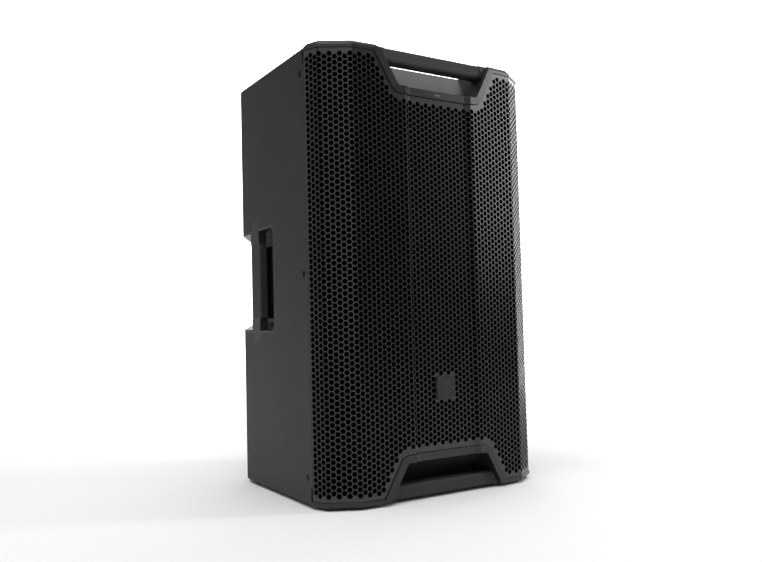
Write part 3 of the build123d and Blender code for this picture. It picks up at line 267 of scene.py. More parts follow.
def rounded(points, corner, radius, steps):
    """The points with one corner turned into an arc."""
    before, here, after = points[corner - 1 : corner + 2]
    back = (before - here).normalized()
    on = (after - here).normalized()
    half = back.angle(on) / 2
    reach = radius / math.tan(half)
    centre = here + (back + on).normalized() * radius / math.sin(half)
    start = here + back * reach - centre
    sweep = start.angle_signed(here + on * reach - centre)
    arc = [centre + Matrix.Rotation(-sweep * i / steps, 2) @ start for i in range(steps + 1)]
    return points[:corner] + arc + points[corner + 1 :]


fold_half = rounded(fold_half, 3, FOLD_ROUND, 3)
fold_half = rounded(fold_half, 2, STEP_ROUND, 2)
fold_half = rounded(fold_half, 1, STEP_ROUND, 2)
fold_line = [Vector((-p.x, p.y)) for p in reversed(fold_half)] + fold_half
inner_fold = len(fold_half)
fold_line = rounded(fold_line, inner_fold, STEP_ROUND, 2)
fold_line = rounded(fold_line, inner_fold - 1, STEP_ROUND, 2)
fold_places = [0.0]
for start, end in zip(fold_line, fold_line[1:]):
    fold_places.append(fold_places[-1] + (end - start).length)
flat_half = fold_places[-1] / 2
fold_places = [place - flat_half for place in fold_places]


def on_fold(place):
    """The point of the folded line, seen from above, at a distance along the flat sheet."""
    for i in range(len(fold_places) - 1):
        if place <= fold_places[i + 1]:
            break
    share = (place - fold_places[i]) / (fold_places[i + 1] - fold_places[i])
    return fold_line[i].lerp(fold_line[i + 1], share)


POCKET_HALF = 0.080
POCKET_HEIGHT = 0.057
POCKET_SLANT = 33 / 57
LIP_WIDTH = 0.012
CUT_GAP = 0.0008
CUT_CORNER = 0.020
CUT_OVER = 0.03


def cut_outline(grow):
    """The pocket cut-out on the folded front, from above its top edge round under it, for x and z."""
    down = POCKET_HEIGHT + grow
    half = POCKET_HALF + grow * (math.sqrt(1 + POCKET_SLANT**2) - POCKET_SLANT)
    top = half + (down + CUT_OVER) * POCKET_SLANT
    left = [Vector((-top, CUT_OVER)), Vector((-half, -down))]
    corners = left + [Vector((half, -down)), Vector((top, CUT_OVER))]
    corners = rounded(corners, 2, CUT_CORNER, 4)
    return rounded(corners, 1, CUT_CORNER, 4)


def flat_place(x):
    """The distance along the flat sheet of a place on the folded front."""
    for i in range(len(fold_line) - 1):
        if x <= fold_line[i + 1].x:
            break
    share = (x - fold_line[i].x) / (fold_line[i + 1].x - fold_line[i].x)
    return fold_places[i] + share * (fold_places[i + 1] - fold_places[i])


def inside(point, outline):
    """True if a point lies on the inner side of every edge of a convex open outline."""
    return all((b - a).cross(point - a) > 0 for a, b in zip(outline, outline[1:]))


mid_z = (BODY_TOP + BODY_BOTTOM) / 2
half_height = (grille_high.z - grille_low.z) / 2
cut_edge = LIP_WIDTH + CUT_GAP
cut_line = [Vector((flat_place(p.x), BODY_TOP - mid_z + p.y)) for p in cut_outline(cut_edge)]
last_edge = cut_outline(cut_edge + LIP_MARGIN)
last_holes = [Vector((flat_place(p.x), BODY_TOP - mid_z + p.y)) for p in last_edge]
badge_low, badge_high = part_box("badge")
badge_middle = (badge_low.z + badge_high.z) / 2 - mid_z
BADGE_CLEAR = 0.0205


def perforated(x, z):
    """True where the sheet has a hole."""
    if abs(x) > flat_half - SIDE_MARGIN or abs(z) > half_height - END_MARGIN:
        return False
    if inside(Vector((x, abs(z))), last_holes):
        return False
    return abs(x) > BADGE_CLEAR or abs(z - badge_middle) > BADGE_CLEAR


def perforated_sheet():
    """The flat sheet in x and z, with a hexagon cell for every place in the pattern."""
    sheet = bmesh.new()
    columns = math.ceil(flat_half / COLUMN_STEP) + 1
    rows = math.ceil(half_height / HOLE_PITCH) + 1
    cell = Matrix.Rotation(math.pi / 2, 4, "X") @ Matrix.Rotation(math.pi / 6, 4, "Z")
    for column in range(-columns, columns + 1):
        for row in range(-rows, rows + 1):
            z = (row + 0.5 * (column % 2)) * HOLE_PITCH
            bmesh.ops.create_circle(
                sheet, cap_ends=True, segments=6, radius=HOLE_PITCH / math.sqrt(3),
                matrix=Matrix.Translation((column * COLUMN_STEP, 0, z)) @ cell,
            )
    bmesh.ops.remove_doubles(sheet, verts=sheet.verts, dist=HOLE_PITCH / 50)
    holes = []
    for face in sheet.faces:
        middle = face.calc_center_median()
        if perforated(middle.x, middle.z):
            holes.append(face)
    bmesh.ops.inset_individual(sheet, faces=holes, thickness=(HOLE_PITCH - HOLE_ACROSS) / 2)
    bmesh.ops.delete(sheet, geom=holes, context="FACES_ONLY")
    return sheet


def slice_sheet(sheet, point, normal, faces=None, drop=False):
    """Cuts the sheet along a line, and drops what lies beyond it."""
    faces = sheet.faces[:] if faces is None else faces
    edges = {edge for face in faces for edge in face.edges}
    verts = {vert for face in faces for vert in face.verts}
    bmesh.ops.bisect_plane(
        sheet, geom=[*verts, *edges, *faces], dist=1e-6, plane_co=(point.x, 0, point.y),
        plane_no=(normal.x, 0, normal.y), clear_outer=drop,
    )


def trimmed_and_folded(sheet, name, set_back):
    """Trims a flat sheet to its outline, folds it, and sets it back behind the grille's front."""
    for side in (-1, 1):
        slice_sheet(sheet, Vector((side * flat_half, 0)), Vector((side, 0)), drop=True)
        slice_sheet(sheet, Vector((0, side * half_height)), Vector((0, side)), drop=True)
    for place in fold_places[1:-1]:
        slice_sheet(sheet, Vector((place, 0)), Vector((1, 0)))
    low = min(p.y for p in cut_line) - HOLE_PITCH
    for side in (1, -1):
        outline = [Vector((p.x, side * p.y)) for p in cut_line]
        for a, b in zip(outline, outline[1:]):
            near = [f for f in sheet.faces if max(side * v.co.z for v in f.verts) > low]
            along = (b - a).normalized()
            slice_sheet(sheet, a, Vector((along.y, -along.x)), near)
        gone = []
        for face in sheet.faces:
            middle = face.calc_center_median()
            if inside(Vector((middle.x, side * middle.z)), cut_line):
                gone.append(face)
        bmesh.ops.delete(sheet, geom=gone, context="FACES")
    for vert in sheet.verts:
        spot = on_fold(vert.co.x)
        vert.co = Vector((spot.x, spot.y, mid_z + vert.co.z))
    bmesh.ops.recalc_face_normals(sheet, faces=sheet.faces)
    sheet.faces.ensure_lookup_table()
    if sheet.faces[0].normal.y > 0:
        bmesh.ops.reverse_faces(sheet, faces=sheet.faces)
    sheet.normal_update()
    shifts = [vert.normal * -set_back for vert in sheet.verts]
    for vert, shift in zip(sheet.verts, shifts):
        vert.co += shift
    return finished(sheet, name)


def finished(mesh_data, name):
    """Turns a bmesh into a linked object."""
    mesh = bpy.data.meshes.new(name + "_mesh")
    mesh_data.to_mesh(mesh)
    mesh_data.free()
    piece = bpy.data.objects.new(name, mesh)
    bpy.context.scene.collection.objects.link(piece)
    return piece


def powder_coat(name, light):
    finish = Finish(name)
    peel = finish.noise(650, 3)
    patches = finish.noise(17, 3)
    dark = tuple(value * 0.65 for value in light)
    colour = finish.ramp(patches * 0.6 + peel * 0.4, (0.35, dark), (0.68, light))
    rough = finish.spread(peel, 0.3, 0.7, 0.25, 0.35)
    normal = finish.bump(peel, 0.0001, 0.5)
    return finish.shade(Base_Color=colour, Roughness=rough, Normal=normal, Specular_IOR_Level=0.55)


coat = powder_coat("black_powder_coat", (0.021, 0.021, 0.023))
grille_piece = trimmed_and_folded(perforated_sheet(), "grille_sheet", 0)
grille_thickness = grille_piece.modifiers.new("thickness", "SOLIDIFY")
grille_thickness.thickness = SHEET
grille_thickness.offset = -1
grille_piece.data.materials.append(coat)
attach(grille_piece, "cabinet")
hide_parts("grille")


# Grille foam. Thin black open-cell foam glued to the back of the whole grille, so that nothing
# behind the holes shows. Its colour is much darker than the foam's own black: painted shade in the holes.
FOAM_SET_BACK = 0.0011
FOAM_THICKNESS = 0.0002


def foam_blank():
    blank = bmesh.new()
    upright = Matrix.Rotation(math.pi / 2, 4, "X")
    bmesh.ops.create_grid(blank, x_segments=2, y_segments=24, size=1, matrix=upright)
    return blank


def open_foam(name):
    finish = Finish(name)
    pores = finish.cells(750)
    shade = finish.noise(90, 2)
    tone = pores * 0.7 + shade * 0.3
    # Near-black colour, much darker than black foam itself: painted shade for the grille's holes.
    colour = finish.ramp(tone, (0.1, (0.0002, 0.0002, 0.0002)), (0.7, (0.0009, 0.0009, 0.001)))
    rough = finish.spread(pores, 0, 0.6, 0.9, 1.0)
    normal = finish.bump(pores, 0.0005, 0.8)
    return finish.shade(Base_Color=colour, Roughness=rough, Normal=normal, Specular_IOR_Level=0.0)


foam_with_painted_shade = open_foam("black_foam_painted_shade")
foam_piece = trimmed_and_folded(foam_blank(), "foam_backing", FOAM_SET_BACK)
foam_thickness = foam_piece.modifiers.new("thickness", "SOLIDIFY")
foam_thickness.thickness = FOAM_THICKNESS
foam_thickness.offset = -1
foam_piece.data.materials.append(foam_with_painted_shade)
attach(foam_piece, "cabinet")
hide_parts("grille_foam")


# Badge. A square moulded button with a raised rim and a plain ring, clipped into a round hole in the
# grille so that it can be turned upright when the cabinet lies on its side.
RIM_INSET = 0.0016
RIM_WIDTH = 0.0011
RIM_CORNER = 0.0045
EMBLEM_PROUD = 0.00035
RING_RADIUS = 0.0088
RING_WIDTH = 0.0016
RING_STEPS = 40
EMBLEM_SUNK = 0.00005


def badge_emblem():
    emblem = bmesh.new()
    middle = (badge_low + badge_high) / 2
    side = badge_high.x - badge_low.x - 2 * RIM_INSET
    upright = Matrix.Rotation(math.pi / 2, 4, "X")
    bmesh.ops.create_grid(emblem, x_segments=1, y_segments=1, size=side / 2, matrix=upright)
    corners = emblem.verts[:]
    bmesh.ops.bevel(
        emblem, geom=corners, offset=RIM_CORNER, offset_type="OFFSET", affect="VERTICES",
        segments=5, profile=0.5, material=-1,
    )
    panel = emblem.faces[:]
    bmesh.ops.inset_region(emblem, faces=panel, thickness=RIM_WIDTH, use_even_offset=True)
    bmesh.ops.delete(emblem, geom=panel, context="FACES_ONLY")
    made = bmesh.ops.create_circle(
        emblem, cap_ends=False, segments=RING_STEPS, radius=RING_RADIUS, matrix=upright
    )
    edges = list({edge for vert in made["verts"] for edge in vert.link_edges})
    grown = bmesh.ops.extrude_edge_only(emblem, edges=edges)
    outer = [item for item in grown["geom"] if isinstance(item, bmesh.types.BMVert)]
    share = 1 + RING_WIDTH / RING_RADIUS
    bmesh.ops.scale(emblem, vec=(share, 1, share), verts=outer)
    bmesh.ops.recalc_face_normals(emblem, faces=emblem.faces)
    flipped = [face for face in emblem.faces if face.normal.y > 0]
    bmesh.ops.reverse_faces(emblem, faces=flipped)
    back = emblem.faces[:]
    raised = bmesh.ops.extrude_face_region(emblem, geom=back)
    front = [item for item in raised["geom"] if isinstance(item, bmesh.types.BMVert)]
    bmesh.ops.translate(emblem, verts=front, vec=(0, -EMBLEM_PROUD, 0))
    place = Vector((middle.x, badge_low.y + EMBLEM_SUNK, middle.z))
    bmesh.ops.translate(emblem, verts=emblem.verts, vec=place)
    bmesh.ops.recalc_face_normals(emblem, faces=emblem.faces)
    return finished(emblem, "badge_emblem")


badge_finish = satin_moulding("badge_satin", (0.008, 0.0081, 0.009), 0.38, 0.48)
paint(badge_finish, "badge")
emblem_piece = badge_emblem()
emblem_piece.data.materials.append(satin_moulding("emblem_gloss", (0.03, 0.0305, 0.033), 0.2, 0.28))
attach(emblem_piece, "badge_turntable")


# Badge clip. A washer of blued spring steel behind the grille, which the badge's pin snaps through
# and which turns with it.
def plated_steel(name, light, rough_low, rough_high):
    finish = Finish(name)
    stain = finish.noise(45, 4)
    brushed = finish.noise(900, 2, finish.moved(scale=(1, 0.08, 1)))
    dark = tuple(value * 0.7 for value in light)
    colour = finish.ramp(stain * 0.6 + brushed * 0.4, (0.3, dark), (0.72, light))
    rough = finish.spread(stain + brushed * 0.4, 0.4, 1.0, rough_low, rough_high)
    normal = finish.bump(brushed, 0.00004, 0.5)
    return finish.shade(Base_Color=colour, Metallic=1.0, Roughness=rough, Normal=normal)


paint(plated_steel("blued_spring_steel", (0.11, 0.12, 0.16), 0.25, 0.4), "badge_clip")


# Pocket handles. A glass-filled nylon bar with a collar at each end crosses both hand pockets, held
# by a screw at each end, with a rubber sleeve moulded round its middle.
bar_satin = satin_moulding("bar_satin", (0.02, 0.0205, 0.022), 0.3, 0.42)
paint(bar_satin, "top_handle_bar", "bottom_handle_bar")


def soft_rubber(name, pitch):
    finish = Finish(name)
    x, _, z = finish.axes()
    dust = finish.noise(23, 4)
    pores = finish.cells(1500)
    ribs = ((x + z) * (math.tau / pitch)).sine()
    tone = dust * 0.8 + pores * 0.2
    colour = finish.ramp(tone, (0.3, (0.016, 0.016, 0.017)), (0.75, (0.028, 0.028, 0.029)))
    rough = finish.spread(dust, 0.3, 0.7, 0.6, 0.75)
    normal = finish.bump(ribs * 0.5 + pores * 0.4, 0.00012, 0.7, round_edge=0.0008)
    return finish.shade(Base_Color=colour, Roughness=rough, Normal=normal, Specular_IOR_Level=0.35)


sleeve_rubber = soft_rubber("sleeve_rubber", 0.003)
paint(sleeve_rubber, "top_handle_grip", "bottom_handle_grip")


# Side handles. A nylon strap spans each cup, sunk flush into the shell at both ends and screwed from
# behind, with a rubber pad over its middle. The drafted cup behind it is a separate moulding.
strap_satin = satin_moulding("strap_satin", (0.014, 0.0143, 0.016), 0.42, 0.52)
paint(strap_satin, "side_handle_left", "side_handle_right")
paint(satin_moulding("cup_satin", (0.005, 0.0051, 0.0056), 0.34, 0.44), "side_cup_left", "side_cup_right")
paint(soft_rubber("pad_rubber", 0.004), "side_grip_left", "side_grip_right")
zinc = plated_steel("zinc_plate", (0.42, 0.42, 0.44), 0.28, 0.45)
paint(zinc, "side_handle_screws")


# Side screws. Blackened steel screws that hold the shell to the flange of the front moulding, each
# with a cross recess for the driver, drawn as a thin dark cross just proud of the head: painted shade.
CROSS_LENGTH = 0.0052
CROSS_WIDTH = 0.0011
CROSS_PROUD = 0.00012


def boxes_of(name):
    """The lowest and highest corners of every loose part of a CAD node that holds like pieces."""
    copy = bmesh.new()
    copy.from_mesh(nodes[name].data)
    bmesh.ops.remove_doubles(copy, verts=copy.verts, dist=1e-6)
    left = set(copy.verts)
    found = []
    while left:
        group = {left.pop()}
        reached = list(group)
        while reached:
            vert = reached.pop()
            for link in vert.link_edges:
                other = link.other_vert(vert)
                if other not in group:
                    group.add(other)
                    reached.append(other)
        left -= group
        low = Vector([min(vert.co[i] for vert in group) for i in range(3)])
        high = Vector([max(vert.co[i] for vert in group) for i in range(3)])
        found.append((low, high))
    copy.free()
    return found


def recess_shade_crosses(name, heads, turns):
    """A dark cross set just proud of every screw head, for the shade inside its recess."""
    crosses = bmesh.new()
    for place, turn_to in zip(heads, turns):
        start = bmesh.ops.create_grid(crosses, x_segments=3, y_segments=3, size=CROSS_LENGTH / 2)["verts"]
        outer = []
        for vert in start:
            for axis in (0, 1):
                if abs(vert.co[axis]) < CROSS_LENGTH / 4:
                    vert.co[axis] = math.copysign(CROSS_WIDTH / 2, vert.co[axis])
        faces = {face for vert in start for face in vert.link_faces}
        for face in faces:
            spot = face.calc_center_median()
            if abs(spot.x) > CROSS_WIDTH / 2 and abs(spot.y) > CROSS_WIDTH / 2:
                outer.append(face)
        bmesh.ops.delete(crosses, geom=outer, context="FACES")
        start = [vert for vert in start if vert.is_valid]
        matrix = Matrix.Translation(place) @ turn_to
        bmesh.ops.transform(crosses, matrix=matrix, verts=start)
    raised = bmesh.ops.extrude_face_region(crosses, geom=crosses.faces[:])
    raised_verts = [item for item in raised["geom"] if isinstance(item, bmesh.types.BMVert)]
    for vert in raised_verts:
        vert.co += vert.normal * CROSS_PROUD
    bmesh.ops.recalc_face_normals(crosses, faces=crosses.faces)
    return finished(crosses, name)


black_steel = plated_steel("blackened_steel", (0.05, 0.05, 0.055), 0.3, 0.45)
# Painted shade: the colour of the dark crosses that stand in for the shade inside each cross recess.
recess_painted_shade = plated_steel("recess_shade", (0.012, 0.012, 0.013), 0.5, 0.7)
paint(black_steel, "side_screws")


# Feet. Four discs of black rubber, each moulded with a peg that is pressed into a hole in the
# bottom of the shell.
foot_rubber = soft_rubber("foot_rubber", 0.005)
paint(foot_rubber, "foot_front_left", "foot_front_right", "foot_rear_left", "foot_rear_right")


# Pole socket and rigging points. Zinc-plated steel pressings and threaded inserts, moulded and
# screwed into the shell.
paint(plated_steel("pole_socket_zinc", (0.34, 0.34, 0.36), 0.3, 0.5), "pole_socket")
paint(zinc, "rigging_inserts")


# Driver frame. A cast basket, powder coated black, bolted to the baffle through a rubber
# gasket with eight zinc-plated screws.
paint(powder_coat("basket_coat", (0.02, 0.02, 0.021)), "driver_basket")
paint(soft_rubber("gasket_rubber", 0.002), "driver_gasket")
paint(zinc, "driver_screws")


# Cone and voice coil. Long-fibre paper with a waterproof coating, glued to a former that is wound
# with enamelled copper wire.
def coated_paper():
    finish = Finish("coated_paper")
    fibre = finish.noise(700, 5)
    cloud = finish.noise(25, 3)
    tone = fibre * 0.6 + cloud * 0.4
    colour = finish.ramp(tone, (0.3, (0.02, 0.02, 0.02)), (0.75, (0.045, 0.044, 0.043)))
    rough = finish.spread(cloud, 0.3, 0.7, 0.7, 0.85)
    normal = finish.bump(fibre, 0.0002, 0.8)
    return finish.shade(Base_Color=colour, Roughness=rough, Normal=normal)


WIRE_PITCH = 0.0004


def wound_copper():
    finish = Finish("wound_copper")
    _, y, _ = finish.axes()
    turns = (y * (math.tau / WIRE_PITCH)).sine()
    tarnish = finish.noise(80, 3)
    colour = finish.ramp(tarnish, (0.3, (0.42, 0.17, 0.06)), (0.7, (0.68, 0.32, 0.13)))
    rough = finish.spread(tarnish, 0.3, 0.7, 0.25, 0.4)
    normal = finish.bump(turns, 0.0001, 0.8)
    return finish.shade(Base_Color=colour, Metallic=1.0, Roughness=rough, Normal=normal)


paint(coated_paper(), "cone")
paint(wound_copper(), "voice_coil")


# Surround and spider. A treated cloth half-roll holds the cone's edge, and a corrugated disc of
# resin-dipped cloth centres the coil.
THREAD_PITCH = 0.0011


def dipped_cloth(name, low, high):
    finish = Finish(name)
    x, _, z = finish.axes()
    weave = (x * (math.tau / THREAD_PITCH)).sine() * (z * (math.tau / THREAD_PITCH)).sine()
    cloud = finish.noise(35, 3)
    colour = finish.ramp(weave * 0.2 + cloud, (0.3, low), (0.75, high))
    rough = finish.spread(cloud, 0.3, 0.7, 0.65, 0.8)
    normal = finish.bump(weave, 0.0002, 0.7)
    return finish.shade(Base_Color=colour, Roughness=rough, Normal=normal)


paint(dipped_cloth("surround_cloth", (0.012, 0.012, 0.012), (0.028, 0.028, 0.029)), "surround")
paint(dipped_cloth("spider_cloth", (0.30, 0.17, 0.05), (0.46, 0.28, 0.09)), "spider")


# Motor. A ring of sintered ferrite between two zinc-plated steel plates, with the compression
# driver's cast aluminium housing bolted to the back plate.
def sintered_ferrite():
    finish = Finish("sintered_ferrite")
    grains = finish.cells(900)
    cloud = finish.noise(20, 4)
    tone = cloud * 0.7 + grains * 0.3
    colour = finish.ramp(tone, (0.3, (0.035, 0.035, 0.037)), (0.75, (0.075, 0.075, 0.08)))
    rough = finish.spread(grains, 0, 0.6, 0.5, 0.7)
    normal = finish.bump(grains, 0.0002, 0.5)
    return finish.shade(Base_Color=colour, Roughness=rough, Normal=normal)


def cast_aluminium(name, light):
    finish = Finish(name)
    grain = finish.noise(1300, 4)
    cloud = finish.noise(30, 3)
    dark = tuple(value * 0.75 for value in light)
    colour = finish.ramp(cloud * 0.6 + grain * 0.4, (0.3, dark), (0.7, light))
    rough = finish.spread(grain + cloud, 0.6, 1.3, 0.4, 0.55)
    normal = finish.bump(grain, 0.00018, 0.7)
    return finish.shade(Base_Color=colour, Metallic=1.0, Roughness=rough, Normal=normal)


paint(sintered_ferrite(), "magnet")
paint(plated_steel("plate_zinc", (0.38, 0.38, 0.4), 0.3, 0.48), "top_plate", "pole_yoke")
paint(cast_aluminium("driver_casting", (0.5, 0.5, 0.52)), "compression_driver")


# Horn and ports. Injection-moulded black plastic, screwed to the front of the motor and to the
# baffle.
paint(satin_moulding("horn_satin", (0.018, 0.018, 0.019), 0.35, 0.45), "horn")
paint(satin_moulding("port_satin", (0.015, 0.015, 0.016), 0.4, 0.52), "port_left", "port_right")


# Damping. Loose white polyester wadding, teased into a thick mat and stapled round the inside of the
# shell.
def loose_wadding():
    finish = Finish("loose_wadding")
    tangle = finish.noise(260, 6)
    lumps = finish.noise(24, 3)
    colour = finish.ramp(tangle * 0.5 + lumps * 0.5, (0.3, (0.34, 0.34, 0.33)), (0.7, (0.55, 0.55, 0.53)))
    rough = finish.spread(lumps, 0.3, 0.7, 0.9, 1.0)
    normal = finish.bump(tangle + lumps, 0.002, 0.9)
    return finish.shade(Base_Color=colour, Roughness=rough, Normal=normal, Specular_IOR_Level=0.2)


paint(loose_wadding(), "damping_lining")


# Amplifier panel. A black powder-coated steel plate that carries every control and socket, sealed
# to the shell with foam tape and held by zinc-plated screws round its edge.
panel_coat = powder_coat("panel_coat", (0.022, 0.022, 0.023))
paint(panel_coat, "amp_panel")
paint(open_foam("seal_foam"), "amp_seal")
paint(zinc, "amp_screws")


# Panel scales. White screen print round both gain knobs: a short stroke for every step of the turn,
# longer at the ends and in the middle.
INK = 0.00004
STROKE_WIDTH = 0.0006
LONG_STROKE = 0.0032
SHORT_STROKE = 0.0018
LONG_EVERY = 5
SCALE_RADIUS = 0.0118
SCALE_TURN = 140
SCALE_STEPS = 10


def panel_scales():
    scales = bmesh.new()
    panel_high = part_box("amp_panel")[1]
    upright = Matrix.Rotation(math.pi / 2, 4, "X")
    for knob in ("gain_knob_1", "gain_knob_2"):
        knob_low, knob_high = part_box(knob)
        middle = (knob_low + knob_high) / 2
        for step in range(SCALE_STEPS + 1):
            length = LONG_STROKE if step % LONG_EVERY == 0 else SHORT_STROKE
            angle = math.radians(SCALE_TURN * (2 * step / SCALE_STEPS - 1))
            stroke = Matrix.Diagonal((STROKE_WIDTH, length, 1, 1))
            out = Matrix.Translation((0, 0, SCALE_RADIUS + length / 2))
            around = Matrix.Rotation(angle, 4, "Y")
            place = Matrix.Translation((middle.x, panel_high.y + INK, middle.z))
            matrix = place @ around @ out @ upright @ stroke
            bmesh.ops.create_grid(scales, x_segments=1, y_segments=1, size=0.5, matrix=matrix)
    bmesh.ops.recalc_face_normals(scales, faces=scales.faces)
    flipped = [face for face in scales.faces if face.normal.y > 0]
    bmesh.ops.reverse_faces(scales, faces=flipped)
    made = bmesh.ops.extrude_face_region(scales, geom=scales.faces[:])
    printed = [item for item in made["geom"] if isinstance(item, bmesh.types.BMVert)]
    bmesh.ops.translate(scales, verts=printed, vec=(0, INK, 0))
    bmesh.ops.recalc_face_normals(scales, faces=scales.faces)
    return finished(scales, "panel_scales")


def screen_ink():
    finish = Finish("screen_ink")
    wear = finish.noise(400, 3)
    colour = finish.ramp(wear, (0.3, (0.55, 0.55, 0.55)), (0.6, (0.75, 0.75, 0.75)))
    rough = finish.spread(wear, 0.3, 0.7, 0.5, 0.65)
    return finish.shade(Base_Color=colour, Roughness=rough)


scales_piece = panel_scales()
scales_piece.data.materials.append(screen_ink())
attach(scales_piece, "cabinet")


# Screw recesses. The cross recesses of the screws that show, on the shell's sides and round the
# amplifier panel, pressed into each head when it is made. Each is drawn as a dark cross just proud
# of its head, as painted shade for the recess.
side_heads = []
side_turns = []
for low, high in boxes_of("side_screws"):
    middle = (low + high) / 2
    side = math.copysign(1, middle.x)
    outer = high.x if side > 0 else low.x
    side_heads.append(Vector((outer, middle.y, middle.z)))
    side_turns.append(Matrix.Rotation(side * math.pi / 2, 4, "Y"))
side_cross = recess_shade_crosses("side_screw_recesses", side_heads, side_turns)
side_cross.data.materials.append(recess_painted_shade)
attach(side_cross, "cabinet")

panel_heads = []
for low, high in boxes_of("amp_screws"):
    middle = (low + high) / 2
    panel_heads.append(Vector((middle.x, high.y, middle.z)))
panel_turns = [Matrix.Rotation(-math.pi / 2, 4, "X")] * len(panel_heads)
panel_cross = recess_shade_crosses("panel_screw_recesses", panel_heads, panel_turns)
panel_cross.data.materials.append(recess_painted_shade)
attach(panel_cross, "cabinet")


# Amplifier case and heat sink. A folded aluminium box closes the electronics off from the air in
# the cabinet, and a black anodised extrusion carries their heat outside.
paint(cast_aluminium("case_sheet", (0.62, 0.62, 0.64)), "amp_case")
paint(powder_coat("black_anodising", (0.02, 0.02, 0.022)), "heat_sink")


# Circuit boards. Glass fibre laminate with copper tracks under a green solder mask, screwed into
# the amplifier case.
def circuit_board():
    finish = Finish("circuit_board")
    tracks = finish.node(
        "ShaderNodeTexBrick", {"offset": 0.5},
        {"Vector": finish.moved(turn=(math.pi / 2, 0, 0)), "Scale": 60, "Mortar Size": 0.05},
        out=1,
    )
    cloud = finish.noise(30, 2)
    tone = tracks * 0.5 + cloud * 0.5
    colour = finish.ramp(tone, (0.25, (0.01, 0.09, 0.035)), (0.7, (0.03, 0.2, 0.08)))
    rough = finish.spread(tracks, 0, 1, 0.3, 0.42)
    normal = finish.bump(tracks, 0.00005, 0.6)
    return finish.shade(Base_Color=colour, Roughness=rough, Normal=normal)


paint(circuit_board(), "amplifier_board", "power_supply")


# Display window. A small sheet of tinted acrylic over a dark screen, let into the panel a little
# proud of its face.
def tinted_acrylic():
    finish = Finish("tinted_acrylic")
    smear = finish.noise(60, 4)
    colour = finish.ramp(smear, (0.3, (0.012, 0.018, 0.03)), (0.7, (0.02, 0.028, 0.045)))
    rough = finish.spread(smear, 0.3, 0.7, 0.06, 0.14)
    return finish.shade(Base_Color=colour, Roughness=rough, Coat_Weight=0.5)


paint(tinted_acrylic(), "display_window")


# Knobs. Ribbed gain knobs and the menu knob are moulded in nylon, and the menu knob is pushed on
# to a steel encoder shaft.
knob_satin = satin_moulding("knob_satin", (0.03, 0.03, 0.032), 0.34, 0.44)
paint(knob_satin, "gain_knob_1", "gain_knob_2", "menu_knob")
paint(zinc, "encoder_shaft")


# Sockets. Two combined sockets with their latch tabs and a link output between them, moulded in
# nylon and let into the panel from the front.
socket_satin = satin_moulding("socket_satin", (0.018, 0.018, 0.019), 0.28, 0.38)
paint(socket_satin, "combo_socket_1", "combo_socket_2", "link_output")
paint(satin_moulding("latch_satin", (0.06, 0.06, 0.063), 0.35, 0.45), "latch_tab_1", "latch_tab_2")


# Mains inlet and rocker switch. Both snap into the panel: a phenolic inlet with three blades, and a
# rocker that tips in its own frame.
paint(satin_moulding("inlet_satin", (0.02, 0.02, 0.021), 0.38, 0.48), "mains_inlet", "rocker_frame")
paint(satin_moulding("rocker_satin", (0.035, 0.035, 0.037), 0.2, 0.28), "power_rocker")


# Studio. One sweep of white paper under and behind the cabinet, with a large soft light above, a
# narrow key to the front right, soft fills, a rim light on each side and one for the backdrop.
SWEEP_BACK = 3.2
SWEEP_ROUND = 1.2
SWEEP_FRONT = -4.0
SWEEP_HEIGHT = 2.5
SWEEP_HALF = 6.0
BEND_STEPS = 12


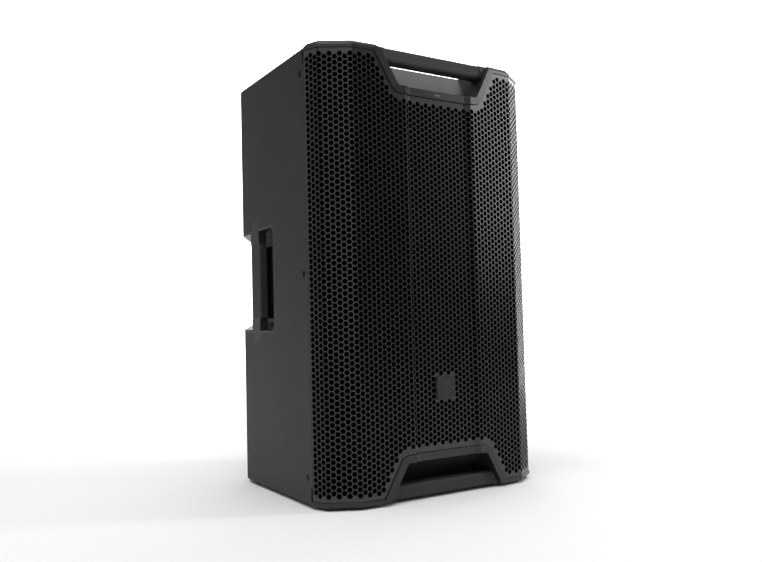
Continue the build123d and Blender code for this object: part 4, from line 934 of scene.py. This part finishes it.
def paper_sweep():
    sweep = bmesh.new()
    start = sweep.verts.new((-SWEEP_HALF, SWEEP_FRONT, 0))
    bend = sweep.verts.new((-SWEEP_HALF, SWEEP_BACK - SWEEP_ROUND, 0))
    sweep.edges.new((start, bend))
    centre = (-SWEEP_HALF, SWEEP_BACK - SWEEP_ROUND, SWEEP_ROUND)
    bmesh.ops.spin(
        sweep, geom=[bend], cent=centre, axis=(1, 0, 0), angle=math.pi / 2, steps=BEND_STEPS,
    )
    top = max(sweep.verts, key=lambda vert: vert.co.y + vert.co.z)
    grown = bmesh.ops.extrude_vert_indiv(sweep, verts=[top])
    bmesh.ops.translate(sweep, verts=grown["verts"], vec=(0, 0, SWEEP_HEIGHT - SWEEP_ROUND))
    made = bmesh.ops.extrude_edge_only(sweep, edges=sweep.edges[:])
    new = [item for item in made["geom"] if isinstance(item, bmesh.types.BMVert)]
    bmesh.ops.translate(sweep, verts=new, vec=(2 * SWEEP_HALF, 0, 0))
    bmesh.ops.recalc_face_normals(sweep, faces=sweep.faces)
    bmesh.ops.transform(sweep, verts=sweep.verts, matrix=Matrix.Rotation(-camera_yaw, 4, "Z"))
    piece = finished(sweep, "paper_sweep")
    piece.data.shade_smooth()
    return piece


def white_paper():
    finish = Finish("white_paper")
    fibre = finish.noise(300, 3)
    colour = finish.ramp(fibre, (0.3, (0.70, 0.70, 0.70)), (0.7, (0.73, 0.73, 0.73)))
    return finish.shade(Base_Color=colour, Roughness=0.95)


sweep_piece = paper_sweep()
sweep_piece.data.materials.append(white_paper())


def soft_light(name, place, target, size, power):
    data = bpy.data.lights.new(name, "AREA")
    data.shape = "RECTANGLE"
    data.size, data.size_y = size
    data.energy = power
    light = bpy.data.objects.new(name, data)
    light.location = place
    light.rotation_mode = "QUATERNION"
    light.rotation_quaternion = (Vector(target) - Vector(place)).to_track_quat("-Z", "Y")
    light.visible_camera = False
    bpy.context.scene.collection.objects.link(light)
    return light


MIDDLE = (0, 0, 0.35)
soft_light("top_light", (-0.9, -0.9, 3.2), (-0.3, -0.3, 0), (3.4, 3.4), 135)
soft_light("key_light", (2.05, -1.38, 1.2), MIDDLE, (0.3, 1.4), 25)
soft_light("front_fill", (-1.1, -2.0, 0.8), MIDDLE, (0.6, 1.4), 4)
soft_light("pocket_fill", (1.9, 1.3, 2.6), (0, -0.1, 0.68), (1.3, 1.3), 3.2)
soft_light("left_rim", (-1.9, 0.75, 0.7), MIDDLE, (0.7, 1.6), 3)
soft_light("right_rim", (1.8, 0.4, 0.7), MIDDLE, (0.4, 1.6), 9)
soft_light("back_light", (1.4, 1.8, 2.4), (2.2, 3.4, 0.8), (3.0, 1.6), 200)

world = bpy.data.worlds.new("studio")
world.use_nodes = True
world.node_tree.nodes["Background"].inputs["Color"].default_value = (1, 1, 1, 1)
world.node_tree.nodes["Background"].inputs["Strength"].default_value = 0.14
bpy.context.scene.world = world
bpy.context.scene.view_settings.view_transform = "Standard"
